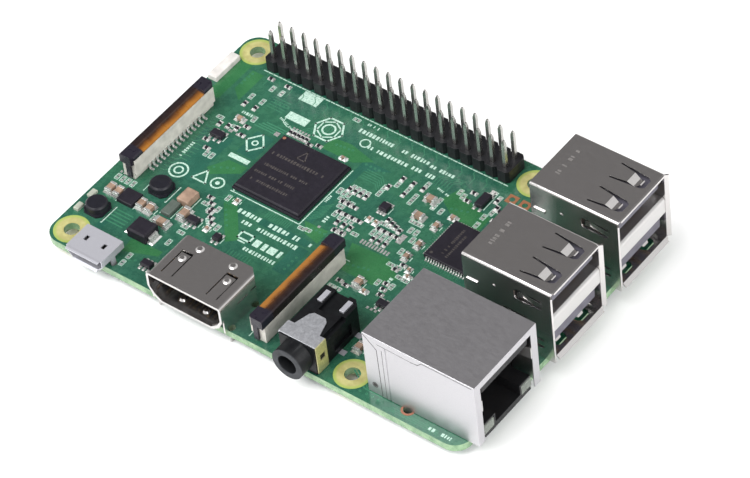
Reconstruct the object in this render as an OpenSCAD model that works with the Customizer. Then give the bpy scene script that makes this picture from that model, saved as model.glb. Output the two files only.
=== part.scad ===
// Single board computer with pin header, network, USB, video, audio and ribbon connectors.
// Origin: centre of the four mounting holes, on the underside of the board.
// +X towards the USB and network sockets, +Y towards the pin header, +Z away from the board's top.
// The places below are measured from the board's corner next to the power inlet.

/* [Circuit board] */
// Length of the board
board_l = 85; // [84.5:0.1:86]
// Width of the board
board_w = 56; // [55.8:0.1:57]
// Thickness of the board
board_t = 1.4; // [1.2:0.1:1.6]
// Corner radius of the board
corner_r = 3; // [2:0.5:3.4]
// Diameter of the four mounting holes
mount_hole_d = 2.7; // [2.5:0.1:3]
// Distance of the mounting holes from the board's edges
mount_inset = 3.5; // [3.4:0.1:3.6]
// Distance between mounting holes along the board
mount_span_x = 58; // [57.8:0.1:58.2]
// Distance between mounting holes across the board
mount_span_y = 49; // [48.8:0.1:49.2]
// Diameter of the bare ring round each mounting hole
pad_d = 6.2; // [5.8:0.1:6.4]

/* [Pin header] */
// Number of pin columns
header_cols = 20; // [4:2:20]
// Distance between pins
pitch = 2.54; // [2.5:0.01:2.58]
// Side of a square pin
pin_w = 0.64; // [0.5:0.02:0.7]
// Height of the pin tips above the board
pin_rise = 8.5; // [7:0.5:10]
// Centre line of the header across the board
header_y = 52.5; // [52.3:0.1:52.7]

/* [USB ports] */
// Width of a USB pair
usb_w = 13.1; // [12.9:0.1:13.5]
// Height of a USB pair above the board
usb_h = 15.6; // [15.2:0.1:16.2]
// Depth of a USB pair, without the flared lips
usb_l = 16.9; // [16.5:0.1:17.3]
// Place of the ports' front edge along the board
usb_front = 86.9; // [86.5:0.1:87.3]
// Centre line of the first pair
usb_1_y = 29; // [28.8:0.1:29.2]
// Centre line of the second pair
usb_2_y = 47; // [46.8:0.1:47.2]

/* [Network socket] */
// Width of the network socket
lan_w = 16; // [15.8:0.1:16.2]
// Height of the network socket above the board
lan_h = 13.5; // [13.3:0.1:14]
// Depth of the network socket
lan_l = 21.4; // [21.2:0.1:21.8]
// Place of the socket's front face along the board
lan_front = 87.1; // [86.8:0.1:87.4]
// Centre line of the network socket
lan_y = 10.25; // [10.1:0.05:10.4]

/* [Video socket] */
// Width of the video socket
hdmi_w = 15; // [14.8:0.1:15.2]
// Height of the video socket above the board
hdmi_h = 6.1; // [6:0.1:6.4]
// Depth of the video socket
hdmi_l = 10.2; // [10:0.1:11.4]
// Centre line of the video socket
hdmi_x = 31.9; // [31.7:0.1:32.1]
// How far the video socket stands over the board's edge
hdmi_over = 1.4; // [1:0.1:1.6]

/* [Power inlet] */
// Width of the power inlet
inlet_w = 7.5; // [7.4:0.1:7.8]
// Height of the power inlet above the board
inlet_h = 2.6; // [2.5:0.1:2.9]
// Depth of the power inlet
inlet_l = 5.5; // [5.3:0.1:5.8]
// Centre line of the power inlet
inlet_x = 10.6; // [10.4:0.1:10.8]
// How far the power inlet stands over the board's edge
inlet_over = 1.3; // [1:0.1:1.5]

/* [Audio jack] */
// Width of the jack's body
jack_w = 7; // [6.8:0.1:7.2]
// Depth of the jack's body
jack_l = 12.4; // [12:0.1:12.8]
// Height of the jack's body above the board
jack_h = 5.8; // [5.7:0.1:6]
// Diameter of the plug hole
jack_bore_d = 3.6; // [3.5:0.05:3.7]
// Diameter of the barrel
jack_barrel_d = 6; // [5.8:0.1:6]
// How far the barrel stands over the board's edge
jack_over = 2.5; // [2:0.1:3]
// Centre line of the jack
jack_x = 53.5; // [53.4:0.1:53.6]

/* [Ribbon connectors] */
// Length of a ribbon connector's housing
ribbon_l = 20.6; // [20.4:0.1:21]
// Depth of a ribbon connector
ribbon_d = 2.9; // [2.9:0.1:3.3]
// Height of a ribbon connector above the board
ribbon_h = 5.3; // [5.1:0.1:5.6]
// Number of ribbon contacts
ribbon_pins = 15; // [9:2:15]
// Centre of the display ribbon connector along the board
display_x = 4.25; // [4.1:0.05:4.6]
// Centre of the display ribbon connector across the board
display_y = 28.2; // [28:0.1:28.5]
// Centre of the camera ribbon connector along the board
camera_x = 44.7; // [44.6:0.05:45.3]
// Centre of the camera ribbon connector across the board
camera_y = 11.5; // [11.4:0.1:11.7]

/* [Card slot] */
// Width of the card slot across the board
card_w = 14.2; // [13.8:0.1:14.6]
// Depth of the card slot
card_l = 14; // [13:0.5:15]
// Height of the card slot below the board
card_h = 1.5; // [1.4:0.1:1.8]

/* [Chips] */
// Side of the processor package
cpu_side = 14; // [13.8:0.1:14.2]
// Height of the processor package
cpu_h = 1.2; // [1:0.1:1.6]
// Side of the USB and network controller
lan_chip_side = 8.8; // [8.6:0.1:8.8]
// Height of the USB and network controller
lan_chip_h = 0.9; // [0.8:0.1:1.1]

/* [Hidden] */
$fn = 32;

// Every tail and the card slot end on one plane below the board.
tail_z = -1.5;
// Room left round a contact or pin where it passes through plastic.
snug = 0.02;
// Bare copper stands this far proud of the board.
pad_t = 0.04;
// Sheet metal of the large shells and of the small ones.
sheet = 0.3;
thin_sheet = 0.2;

origin_x = mount_inset + mount_span_x / 2;
origin_y = mount_inset + mount_span_y / 2;
header_x = mount_inset + mount_span_x / 2;
usb_ys = [usb_1_y, usb_2_y];
mount_places = [
    for (x = [0, mount_span_x], y = [0, mount_span_y]) [mount_inset + x, mount_inset + y]
];
header_places = [
    for (i = [0:header_cols - 1], j = [-0.5, 0.5])
        [header_x + (i - (header_cols - 1) / 2) * pitch, header_y + j * pitch]
];

// ---------------------------------------------------------------- helpers

// Puts children at a place measured from the board's corner, on the board's top.
module on_top(x, y, z = 0) {
    translate([x - origin_x, y - origin_y, board_t + z]) children();
}

// Puts children upside down under the board.
module under(x, y) {
    translate([x - origin_x, y - origin_y, 0]) mirror([0, 0, 1]) children();
}

// A box centred on x and y, standing on z.
module block(l, w, h, x = 0, y = 0, z = 0) {
    translate([x - l / 2, y - w / 2, z]) cube([l, w, h]);
}

// A box between two corners.
module span(a, b) {
    translate(a) cube(b - a);
}

// A plate with round corners, centred on x and y.
module round_plate(l, w, t, r) {
    linear_extrude(t) {
        square([l - 2 * r, w], center = true);
        square([l, w - 2 * r], center = true);
        for (sx = [-1, 1], sy = [-1, 1])
            translate([sx * (l / 2 - r), sy * (w / 2 - r)]) circle(r);
    }
}

// A side outline (x, z), given a width along Y.
module across_y(points, w, y = 0) {
    translate([0, y + w / 2, 0]) rotate([90, 0, 0]) linear_extrude(w) polygon(points);
}

// A front outline (x, z), pushed along +Y from y.
module along_y(points, l, y = 0) {
    translate([0, y + l, 0]) rotate([90, 0, 0]) linear_extrude(l) polygon(points);
}

// A cross outline (y, z), given a length along X from x.
module along_x(points, l, x = 0) {
    translate([x, 0, 0]) rotate([90, 0, 90]) linear_extrude(l) polygon(points);
}

// A chip package with its upper edges cut back a little.
module chip(l, w, h, bevel = 0.12) {
    intersection() {
        across_y([
            [-l / 2, 0], [l / 2, 0], [l / 2, h - bevel],
            [l / 2 - bevel, h], [-l / 2 + bevel, h], [-l / 2, h - bevel]
        ], w);
        along_x([
            [-w / 2, 0], [w / 2, 0], [w / 2, h - bevel],
            [w / 2 - bevel, h], [-w / 2 + bevel, h], [-w / 2, h - bevel]
        ], l, -l / 2);
    }
}

// ---------------------------------------------------------------- board

usb_contact_ys = [-3.5, -1, 1, 3.5];
usb_upper_riser = -15.2;
usb_lower_riser = -13.6;
usb_tail_xs = [-14.8, -6.4];
usb_tail_w = 1.5;
usb_contact_w = 0.6;
usb_contact_t = 0.25;
lan_tail_x = -13.8;
lan_tail_w = 1.4;
lan_peg_d = 3.2;
lan_peg_x = -8.9;
lan_peg_y = 5.7;
lan_pin_rows = [-20.2, -17.7];
lan_pin_ys = [for (i = [-2.5:1:2.5]) i * 2.04];
lan_pin_w = 0.5;
hdmi_tail_ys = [2.2, 8.2];
hdmi_tail_w = 1.2;
inlet_tail_w = 1;
inlet_tail_y = 1.4;
jack_peg_ys = [2.4, 9.4];
jack_peg_d = 1.1;

// Diameters of the plated holes.
pin_hole_d = 1.02;
usb_pin_hole_d = 0.95;
usb_tail_hole_d = 1.8;
lan_pin_hole_d = 0.9;
lan_tail_hole_d = 1.7;
hdmi_tail_hole_d = 1.5;
inlet_tail_hole_d = 1.25;

// One through hole at a place measured from the board's corner.
module through_hole(x, y, d) {
    translate([x - origin_x, y - origin_y, -1]) cylinder(d = d, h = board_t + 2);
}

module connector_holes() {
    for (y = usb_ys) {
        for (x = [usb_upper_riser, usb_lower_riser], dy = usb_contact_ys)
            through_hole(usb_front + x, y + dy, usb_pin_hole_d);
        for (x = usb_tail_xs, side = [-1, 1])
            through_hole(usb_front + x, y + side * (usb_w - sheet) / 2, usb_tail_hole_d);
    }
    for (side = [-1, 1]) {
        through_hole(lan_front + lan_tail_x, lan_y + side * (lan_w - sheet) / 2, lan_tail_hole_d);
        through_hole(lan_front + lan_peg_x, lan_y + side * lan_peg_y, lan_peg_d + 0.1);
    }
    for (x = lan_pin_rows, dy = lan_pin_ys)
        through_hole(lan_front + x, lan_y + dy, lan_pin_hole_d);
    for (y = hdmi_tail_ys, side = [-1, 1])
        through_hole(hdmi_x + side * (hdmi_w - sheet) / 2, y - hdmi_over, hdmi_tail_hole_d);
    for (side = [-1, 1])
        through_hole(inlet_x + side * (inlet_w - thin_sheet) / 2, inlet_tail_y, inlet_tail_hole_d);
    for (y = jack_peg_ys)
        through_hole(jack_x, y, jack_peg_d + 0.1);
}

module circuit_board() {
    color([0.16, 0.42, 0.29]) difference() {
        translate([board_l / 2 - origin_x, board_w / 2 - origin_y, 0])
            round_plate(board_l, board_w, board_t, corner_r);
        for (p = mount_places) through_hole(p.x, p.y, mount_hole_d);
        for (p = header_places) through_hole(p.x, p.y, pin_hole_d);
        connector_holes();
    }
}

module mounting_pads() {
    color([0.86, 0.78, 0.4]) for (p = mount_places, z = [-pad_t, board_t])
        translate([p.x - origin_x, p.y - origin_y, z]) difference() {
            cylinder(d = pad_d, h = pad_t);
            translate([0, 0, -1]) cylinder(d = mount_hole_d, h = 3);
        }
}

empty_header_place = [60.4, 47.6];

// Two square pads with open holes, where a header may be soldered.
module empty_header_pads() {
    pad_side = 1.9;
    color([0.78, 0.5, 0.3]) on_top(empty_header_place.x, empty_header_place.y)
        for (dx = [0, pitch]) translate([dx, 0, 0]) difference() {
            block(pad_side, pad_side, pad_t);
            translate([0, 0, -1]) cylinder(d = 1, h = 3);
        }
}

// ---------------------------------------------------------------- pin header

header_body_h = 2.5;
header_notch = 0.5;

// Outline of one cell of the insulator strip, with cut corners.
module header_cell() {
    half = pitch / 2;
    polygon([
        [-half, -pitch + header_notch], [-half + header_notch, -pitch],
        [half - header_notch, -pitch], [half, -pitch + header_notch],
        [half, pitch - header_notch], [half - header_notch, pitch],
        [-half + header_notch, pitch], [-half, pitch - header_notch]
    ]);
}

module header_housing() {
    color([0.1, 0.1, 0.11]) on_top(header_x, header_y) difference() {
        linear_extrude(header_body_h)
            for (i = [0:header_cols - 1])
                translate([(i - (header_cols - 1) / 2) * pitch, 0]) header_cell();
        for (p = header_places)
            block(pin_w + snug, pin_w + snug, header_body_h + 2, p.x - header_x, p.y - header_y, -1);
    }
}

// A square pin with both ends cut back to a blunt point.
module header_pin() {
    taper = 0.7;
    tip = pin_w / 4;
    top = board_t + pin_rise;
    outline = [
        [-tip, tail_z], [tip, tail_z], [pin_w / 2, tail_z + taper], [pin_w / 2, top - taper],
        [tip, top], [-tip, top], [-pin_w / 2, top - taper], [-pin_w / 2, tail_z + taper]
    ];
    intersection() {
        across_y(outline, pin_w);
        along_x(outline, pin_w, -pin_w / 2);
    }
}

module header_pins() {
    color([0.85, 0.83, 0.76]) for (p = header_places)
        translate([p.x - origin_x, p.y - origin_y, 0]) header_pin();
}

// ---------------------------------------------------------------- USB pairs
// Own frame: x = 0 is the front edge, y = 0 the centre line, z = 0 the board's top.

usb_port_h = 5.12;
usb_upper_top = usb_h - sheet;
usb_upper_floor = usb_upper_top - usb_port_h;
usb_lower_floor = 1.5;
usb_lower_top = usb_lower_floor + usb_port_h;
usb_cavity_l = 12.3;
usb_tongue_w = 11.1;
usb_tongue_t = 1.84;
usb_tongue_gap = 0.8;
usb_tongue_front = -0.75;
usb_lip = 0.55;
usb_top_lip = 0.4;
usb_window_l = 5.3;
usb_window_h = 2.1;
usb_window_x = -4.45;
usb_window_drop = 3.2;
usb_slot_l = 4.7;
usb_slot_h = 0.35;
usb_slot_z = 7.6;
usb_finger_ys = [-3, 3];
usb_bend_r = 0.5;
usb_hook = [2.1, 0.6];
usb_hook_at = [-15.2, 9.9];
usb_dimple_at = [-10.9, 11.6];
usb_ports = [[usb_upper_floor, usb_upper_top], [usb_lower_floor, usb_lower_top]];

module on_usb(i) {
    on_top(usb_front, usb_ys[i]) children();
}

// Side outline of a spring finger: level, then dipping into the port and turning up again.
function finger_outline(t = 0.2, dip = 0.6) = [
    [-7.1, -t], [-7.1, 0], [-4, 0], [-2.9, -dip], [-2.5, -dip], [-1.9, -0.1],
    [-1.75, -0.25], [-2.4, -dip - t], [-3, -dip - t], [-4.1, -t]
];

// One long edge of a spring finger seen from above, in walking order round the finger.
function finger_edge(side) = let (
    edge = [[-7.2, 1.6], [-6.2, 1.5], [-3, 1], [-2.2, 0.75], [-1.7, 0.5]]
) side < 0 ? [for (p = edge) [p.x, -p.y]] : [for (i = [len(edge) - 1:-1:0]) edge[i]];

// A spring finger of a port's plate, wide at its root and narrow at its tip.
module usb_top_finger() {
    intersection() {
        across_y(finger_outline(), 4);
        translate([0, 0, -3]) linear_extrude(6)
            polygon([for (side = [-1, 1]) each finger_edge(side)]);
    }
}

// The gap cut round such a finger.
module usb_top_window() {
    translate([0, 0, -1]) linear_extrude(2)
        polygon([
            [-7, -1.85], [-3, -1.5], [-1.5, -1.35], [-0.85, -0.9],
            [-0.85, 0.9], [-1.5, 1.35], [-3, 1.5], [-7, 1.85]
        ]);
}

// A rounded window through a side wall, z below the port's roof.
module usb_side_window(port_roof) {
    window_r = 0.6;
    translate([usb_window_x, 0, port_roof - usb_window_drop]) rotate([90, 0, 0]) translate([0, 0, -1])
        round_plate(usb_window_l, usb_window_h, 2, window_r);
}

// A spring finger in a side window: rooted at the front, bent outwards at its tip.
module usb_side_finger(port_roof) {
    finger_h = 1.1;
    translate([0, 0, port_roof - usb_window_drop - finger_h / 2]) linear_extrude(finger_h)
        polygon([
            [-1.7, 0], [-1.7, sheet], [-2.6, sheet], [-5.6, -0.1],
            [-6.4, 0.25], [-6.5, 0.1], [-5.6, -0.3], [-2.6, 0]
        ]);
}

// The shell's outer block, with the sheet's bends along its two upper edges.
module usb_shell_block() {
    half = usb_w / 2;
    foot = 0.1;
    translate([-usb_l, 0, 0]) rotate([90, 0, 90]) linear_extrude(usb_l) {
        translate([-half, foot]) square([usb_w, usb_h - usb_bend_r - foot]);
        translate([-half + usb_bend_r, foot]) square([usb_w - 2 * usb_bend_r, usb_h - foot]);
        for (side = [-1, 1])
            translate([side * (half - usb_bend_r), usb_h - usb_bend_r]) circle(usb_bend_r);
    }
}

module usb_shell_box() {
    half = usb_w / 2;
    difference() {
        usb_shell_block();
        span([-usb_l + sheet, -half + sheet, usb_lower_floor], [1, half - sheet, usb_h - sheet]);
        span([-usb_l + sheet, -half + sheet, -1], [1, half - sheet, usb_lower_floor - sheet]);
        span([-usb_l + sheet, -half + sheet, -1], [-usb_cavity_l, half - sheet, usb_lower_floor + 1]);
        for (y = usb_finger_ys, z = [usb_h, usb_lower_floor]) translate([0, y, z]) usb_top_window();
        for (port = usb_ports, side = [-1, 1])
            translate([0, side * half, 0]) usb_side_window(port[1]);
        for (side = [-1, 1])
            block(usb_slot_l, 2, usb_slot_h, -7.2, side * half, usb_slot_z);
    }
}

// The flared lips along the four front edges.
module usb_lips() {
    half = usb_w / 2;
    corner = 0.6;
    top_w = usb_w - 2 * corner;
    across_y([[-0.1, usb_h], [-0.1, usb_h - sheet], [0, usb_h - sheet],
        [usb_top_lip, usb_h - sheet / 2], [usb_top_lip - 0.1, usb_h + 0.1]], top_w);
    across_y([[-0.1, usb_lower_floor - sheet], [-0.1, usb_lower_floor], [0, usb_lower_floor],
        [usb_lip + 0.1, usb_lower_floor - usb_lip - 0.1],
        [usb_lip - 0.1, usb_lower_floor - usb_lip - sheet]], top_w);
    for (side = [0, 1]) mirror([0, side, 0])
        translate([0, 0, usb_lower_floor]) linear_extrude(usb_upper_top - usb_lower_floor)
            polygon([[-0.1, half], [-0.1, half - sheet], [0, half - sheet],
                [usb_lip, half + usb_lip - sheet], [usb_lip - 0.2, half + usb_lip - 0.1]]);
}

// The rear wall's hook over each side wall, and a pressed dimple ahead of it.
module usb_side_marks() {
    half = usb_w / 2;
    proud = 0.2;
    for (side = [0, 1]) mirror([0, side, 0]) {
        block(usb_hook[0], 2 * proud, usb_hook[1], usb_hook_at[0], half, usb_hook_at[1]);
        translate([usb_dimple_at[0], half - 0.1, usb_dimple_at[1]]) rotate([-90, 0, 0])
            cylinder(r1 = 0.45, r2 = 0.2, h = 0.25);
    }
}

module usb_shell(i) {
    half = usb_w / 2;
    on_usb(i) {
        usb_shell_box();
        usb_side_marks();
        usb_lips();
        for (y = usb_finger_ys) {
            translate([0, y, usb_h]) usb_top_finger();
            translate([0, y, usb_lower_floor - sheet]) mirror([0, 0, 1]) usb_top_finger();
        }
        for (port = usb_ports, side = [0, 1]) mirror([0, side, 0])
            translate([0, half - sheet, 0]) usb_side_finger(port[1]);
        for (x = usb_tail_xs, side = [-1, 1])
            block(usb_tail_w, sheet, 0.3 + board_t - tail_z, x, side * (half - sheet / 2), tail_z - board_t);
    }
}

// The folded plate between the upper and the lower port.
module usb_divider(i) {
    nose = 0.5;
    low = usb_lower_top;
    high = usb_upper_floor;
    gap = 0.03;
    on_usb(i) across_y([
        [-usb_cavity_l + gap, high - sheet], [-usb_cavity_l + gap, high], [-nose, high],
        [-nose / 3, high - nose / 3], [0, high - nose], [0, low + nose],
        [-nose / 3, low + nose / 3], [-nose, low], [-usb_cavity_l + gap, low],
        [-usb_cavity_l + gap, low + sheet], [-sheet - nose / 2, low + sheet],
        [-sheet, low + sheet + nose / 2], [-sheet, high - sheet - nose / 2],
        [-sheet - nose / 2, high - sheet]
    ], usb_w - 2 * sheet - 2 * gap);
}

// One contact: a strip under the tongue and a riser down through the board.
module usb_contact(strip_z, riser_x, y, room = 0) {
    t = usb_contact_t;
    w = usb_contact_w + room;
    span([riser_x - t / 2 - room, y - w / 2, strip_z - room],
        [usb_tongue_front - 0.8, y + w / 2, strip_z + t + room]);
    span([riser_x - t / 2 - room, y - w / 2, tail_z - board_t],
        [riser_x + t / 2 + room, y + w / 2, strip_z + t / 2]);
}

usb_rows = [
    [usb_upper_top - usb_tongue_gap - usb_tongue_t, usb_upper_riser],
    [usb_lower_top - usb_tongue_gap - usb_tongue_t, usb_lower_riser]
];

module usb_contact_set(room = 0) {
    for (row = usb_rows, y = usb_contact_ys)
        usb_contact(row[0], row[1], y, room);
}

module usb_insulator(i) {
    half = usb_w / 2 - sheet - 0.05;
    on_usb(i) difference() {
        union() {
            span([-usb_l + sheet + 0.05, -half, 0.05], [-usb_cavity_l, half, usb_h - sheet - 0.05]);
            for (row = usb_rows)
                span([-usb_cavity_l - 1, -usb_tongue_w / 2, row[0]],
                    [usb_tongue_front, usb_tongue_w / 2, row[0] + usb_tongue_t]);
        }
        usb_contact_set(snug);
    }
}

module usb_contacts(i) {
    on_usb(i) usb_contact_set();
}

module usb_pair_1_shell() { color([0.66, 0.65, 0.65]) usb_shell(0); }
module usb_pair_2_shell() { color([0.66, 0.65, 0.65]) usb_shell(1); }
module usb_pair_1_divider() { color([0.8, 0.8, 0.8]) usb_divider(0); }
module usb_pair_2_divider() { color([0.8, 0.8, 0.8]) usb_divider(1); }
module usb_pair_1_insulator() { color([0.16, 0.15, 0.17]) usb_insulator(0); }
module usb_pair_2_insulator() { color([0.16, 0.15, 0.17]) usb_insulator(1); }
module usb_pair_1_contacts() { color([0.75, 0.55, 0.35]) usb_contacts(0); }
module usb_pair_2_contacts() { color([0.75, 0.55, 0.35]) usb_contacts(1); }

// ---------------------------------------------------------------- network socket
// Own frame: x = 0 is the front face, y = 0 the centre line, z = 0 the board's top.

lan_bezel_side = 1.5;
lan_bezel_top = 1.4;
lan_sheet = 0.25;
lan_body_x = -0.35;
lan_plug_w = 11.9;
lan_plug_floor = 3.25;
lan_plug_roof = 10.4;
lan_plug_l = 13.6;
lan_latch_w = 6.4;
lan_latch_floor = 1.2;
lan_pipe_w = 2.5;
lan_pipe_h = 2.1;
lan_pipe_y = 4.85;
lan_pipe_z = 0.75;
lan_contact_pitch = 1.02;
lan_contact_w = 0.35;
lan_magnetics_x = -18.4;
lan_magnetics_size = [5.1, 13.1, 9];
lan_magnetics_z = 1.45;
lan_slot_roof = 11;

module on_lan() {
    on_top(lan_front, lan_y) children();
}

module ethernet_shell() {
    half = lan_w / 2;
    inner = half - lan_sheet;
    seam = 0.12;
    color([0.72, 0.71, 0.72]) on_lan() {
        difference() {
            span([-lan_l, -half, 0.1], [0, half, lan_h]);
            span([-lan_l + lan_sheet, -inner, -1], [-lan_sheet, inner, lan_h - lan_sheet]);
            span([-1, -half + lan_bezel_side, -1], [1, half - lan_bezel_side, lan_h - lan_bezel_top]);
            for (side = [-1, 1])
                span([-lan_l + 4.3, side * half - seam, -1], [-lan_l + 4.45, side * half + seam, lan_h - 1.2]);
        }
        for (side = [-1, 1])
            block(lan_tail_w, lan_sheet, board_t - tail_z + 0.3, lan_tail_x,
                side * (half - lan_sheet / 2), tail_z - board_t);
    }
}

// The side springs that touch the plug's shield, folded in from the front frame.
module ethernet_ground_springs() {
    spring_low = 6.8;
    spring_h = 2.4;
    root = lan_w / 2 - lan_bezel_side;
    color([0.85, 0.84, 0.84]) on_lan() for (side = [0, 1]) mirror([0, side, 0])
        translate([0, 0, spring_low]) linear_extrude(spring_h) polygon([
            [-0.02, root - 0.02], [-0.02, root - 0.22], [-2.6, root - 0.52], [-4.6, root - 0.24],
            [-4.6, root - 0.04], [-2.6, root - 0.32], [-0.3, root - 0.02]
        ]);
}

// Side outline of a spring contact that slopes from the roof into the plug cavity.
function lan_contact_outline(room = 0) = [
    [-13.1 - room, 6.6 - room], [-2.6, 10.25 - room], [-2.2 + room, 10.25 - room],
    [-2.2 + room, 10.9 + room], [-13.1 - room, 10.9 + room], [-13.1 - room, 10.6 - room],
    [-2.9, 10.6 - room], [-13.1 - room, 6.95]
];

// The slot that frees one contact where it enters the roof of the cavity.
module lan_contact_slot(y) {
    span([-13.3, y - lan_contact_w / 2 - 0.05, lan_plug_roof - 0.5],
        [-2, y + lan_contact_w / 2 + 0.05, lan_slot_roof]);
}

// Blank of the insulator, before the plug cavity is cut.
module lan_insulator_blank() {
    half = lan_w / 2 - lan_sheet - 0.05;
    front_half = lan_w / 2 - lan_bezel_side - 0.6;
    span([-lan_l + lan_sheet + 0.05, -half, 0.05], [-lan_sheet - 5, half, lan_h - lan_sheet - 0.05]);
    span([-6, -front_half, 0.05], [lan_body_x, front_half, lan_h - lan_bezel_top - 0.05]);
    for (side = [-1, 1])
        translate([lan_peg_x, side * lan_peg_y, -board_t]) cylinder(d = lan_peg_d, h = board_t + 1);
}

module ethernet_insulator() {
    color([0.07, 0.07, 0.08]) on_lan() difference() {
        lan_insulator_blank();
        span([-lan_plug_l, -lan_plug_w / 2, lan_plug_floor], [1, lan_plug_w / 2, lan_plug_roof]);
        span([-lan_plug_l + 3, -lan_latch_w / 2, lan_latch_floor], [1, lan_latch_w / 2, lan_plug_floor + 1]);
        for (i = [-3.5:1:3.5]) lan_contact_slot(i * lan_contact_pitch);
        for (side = [-1, 1])
            block(lan_plug_l, lan_pipe_w + 0.1, lan_pipe_h + 0.1, -lan_plug_l / 2 + 0.5,
                side * lan_pipe_y, lan_pipe_z - 0.05);
        block(lan_magnetics_size.x + 0.1, lan_magnetics_size.y + 0.1, lan_magnetics_size.z + 0.2,
            lan_magnetics_x, 0, lan_magnetics_z - 0.05);
        for (x = lan_pin_rows, y = lan_pin_ys)
            block(lan_pin_w + 2 * snug, lan_pin_w + 2 * snug, 4, x, y, -1);
    }
}

module ethernet_contacts() {
    color([0.85, 0.68, 0.35]) on_lan() {
        for (i = [-3.5:1:3.5])
            across_y(lan_contact_outline(), lan_contact_w, i * lan_contact_pitch);
        for (x = lan_pin_rows, y = lan_pin_ys)
            block(lan_pin_w, lan_pin_w, 1.35 + board_t - tail_z, x, y, tail_z - board_t);
    }
}

// A light pipe with a bevelled front window.
module light_pipe(side) {
    bevel = 0.3;
    on_lan() across_y([
        [-lan_plug_l + 1.2, lan_pipe_z], [lan_body_x, lan_pipe_z],
        [lan_body_x, lan_pipe_z + lan_pipe_h - bevel],
        [lan_body_x - bevel, lan_pipe_z + lan_pipe_h], [-lan_plug_l + 1.2, lan_pipe_z + lan_pipe_h]
    ], lan_pipe_w, side * lan_pipe_y);
}

module ethernet_left_light_pipe() { color([0.6, 0.65, 0.5]) light_pipe(-1); }
module ethernet_right_light_pipe() { color([0.5, 0.62, 0.55]) light_pipe(1); }

module ethernet_magnetics() {
    color([0.2, 0.2, 0.2]) on_lan() translate([lan_magnetics_x, 0, lan_magnetics_z])
        chip(lan_magnetics_size.x, lan_magnetics_size.y, lan_magnetics_size.z, 0.3);
}

// ---------------------------------------------------------------- video socket
// Own frame: y = 0 is the front edge, x = 0 the centre line, z = 0 the board's top.

hdmi_foot = 2.6;
hdmi_corner = 2.3;
hdmi_bend_r = 0.5;
hdmi_floor = 0.6;
hdmi_rear_cuts = [-0.6, 1.3];
hdmi_finger_x = 4.6;
hdmi_finger_w = 1.9;
hdmi_finger_y = 1.6;
hdmi_finger_l = 5.6;
hdmi_tongue_w = 11.4;
hdmi_tongue_t = 1.1;
hdmi_tongue_z = 2.75;
hdmi_tongue_y = 2.3;
hdmi_block_y = 8.2;
hdmi_foot_w = 7.8;
hdmi_rear_notch = 1;
hdmi_side_slots = [[4.2, 6.8], [7.6, 9.2]];

module on_hdmi() {
    on_top(hdmi_x, -hdmi_over) children();
}

// Front outline of the socket, shrunk by inset.
function hdmi_outline(inset) = let (
    h = hdmi_w / 2 - inset, f = hdmi_corner - inset * 0.4, r = max(0.1, hdmi_bend_r - inset)
) [
    for (a = [90:30:180]) [-h + r + r * cos(a), hdmi_h - inset - r + r * sin(a)],
    [-h, hdmi_foot + hdmi_floor], [-h + f * 0.35, hdmi_floor + inset + 1.1],
    [-h + f, hdmi_floor + inset], [h - f, hdmi_floor + inset],
    [h - f * 0.35, hdmi_floor + inset + 1.1], [h, hdmi_foot + hdmi_floor],
    for (a = [0:30:90]) [h - r + r * cos(a), hdmi_h - inset - r + r * sin(a)]
];

// The U-shaped gap round a top spring finger.
module hdmi_finger_gap(x) {
    gap = 0.22;
    end_gap = 0.5;
    outer = hdmi_finger_w / 2 + gap;
    translate([x, hdmi_finger_y, hdmi_h - 1]) difference() {
        span([-outer, 0, 0], [outer, hdmi_finger_l, 2]);
        span([-hdmi_finger_w / 2, -1, -1], [hdmi_finger_w / 2, hdmi_finger_l - end_gap, 3]);
    }
}

module hdmi_shell() {
    half = hdmi_w / 2;
    color([0.66, 0.65, 0.64]) on_hdmi() {
        difference() {
            along_y(hdmi_outline(0), hdmi_l);
            along_y(hdmi_outline(sheet), hdmi_l - sheet + 1, -1);
            for (side = [-1, 1]) {
                hdmi_finger_gap(side * hdmi_finger_x);
                for (slot = hdmi_side_slots)
                    span([side * half - 0.5, slot[0], 3.2], [side * half + 0.5, slot[1], 3.9]);
            }
            for (cut = hdmi_rear_cuts)
                translate([sign(cut) * half, hdmi_l, 0]) rotate([0, 0, 45])
                    block(2 * abs(cut) * sqrt(0.5), 2 * abs(cut) * sqrt(0.5), 20, 0, 0, -1);
            block(hdmi_foot_w + 0.2, 2 * hdmi_rear_notch, 2.6, 0, hdmi_l, -1);
        }
        for (side = [-1, 1]) {
            translate([side * hdmi_finger_x, 5.6, hdmi_h - 0.1]) cylinder(r1 = 0.85, r2 = 0.4, h = 0.3);
            translate([side * 3.4, 8.7, hdmi_h - 0.1]) cylinder(r1 = 0.9, r2 = 0.45, h = 0.28);
            translate([side * 2.4, 2.2, hdmi_floor + sheet - 0.1]) cylinder(r1 = 0.7, r2 = 0.4, h = 0.45);
            for (y = hdmi_tail_ys)
                block(sheet, hdmi_tail_w, hdmi_foot + 1 + board_t - tail_z,
                    side * (half - sheet / 2), y, tail_z - board_t);
            span([side * (half - sheet / 2) - sheet / 2, 0.6, 0.05],
                [side * (half - sheet / 2) + sheet / 2, hdmi_l - 1.6, hdmi_foot + 1]);
        }
        hdmi_front_lip();
    }
}

// The narrow rim that stands out round the socket's mouth.
module hdmi_front_lip() {
    rim = 0.3;
    difference() {
        along_y(hdmi_outline(-0.15), rim, 0);
        along_y(hdmi_outline(sheet), 2, -1);
    }
}

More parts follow.
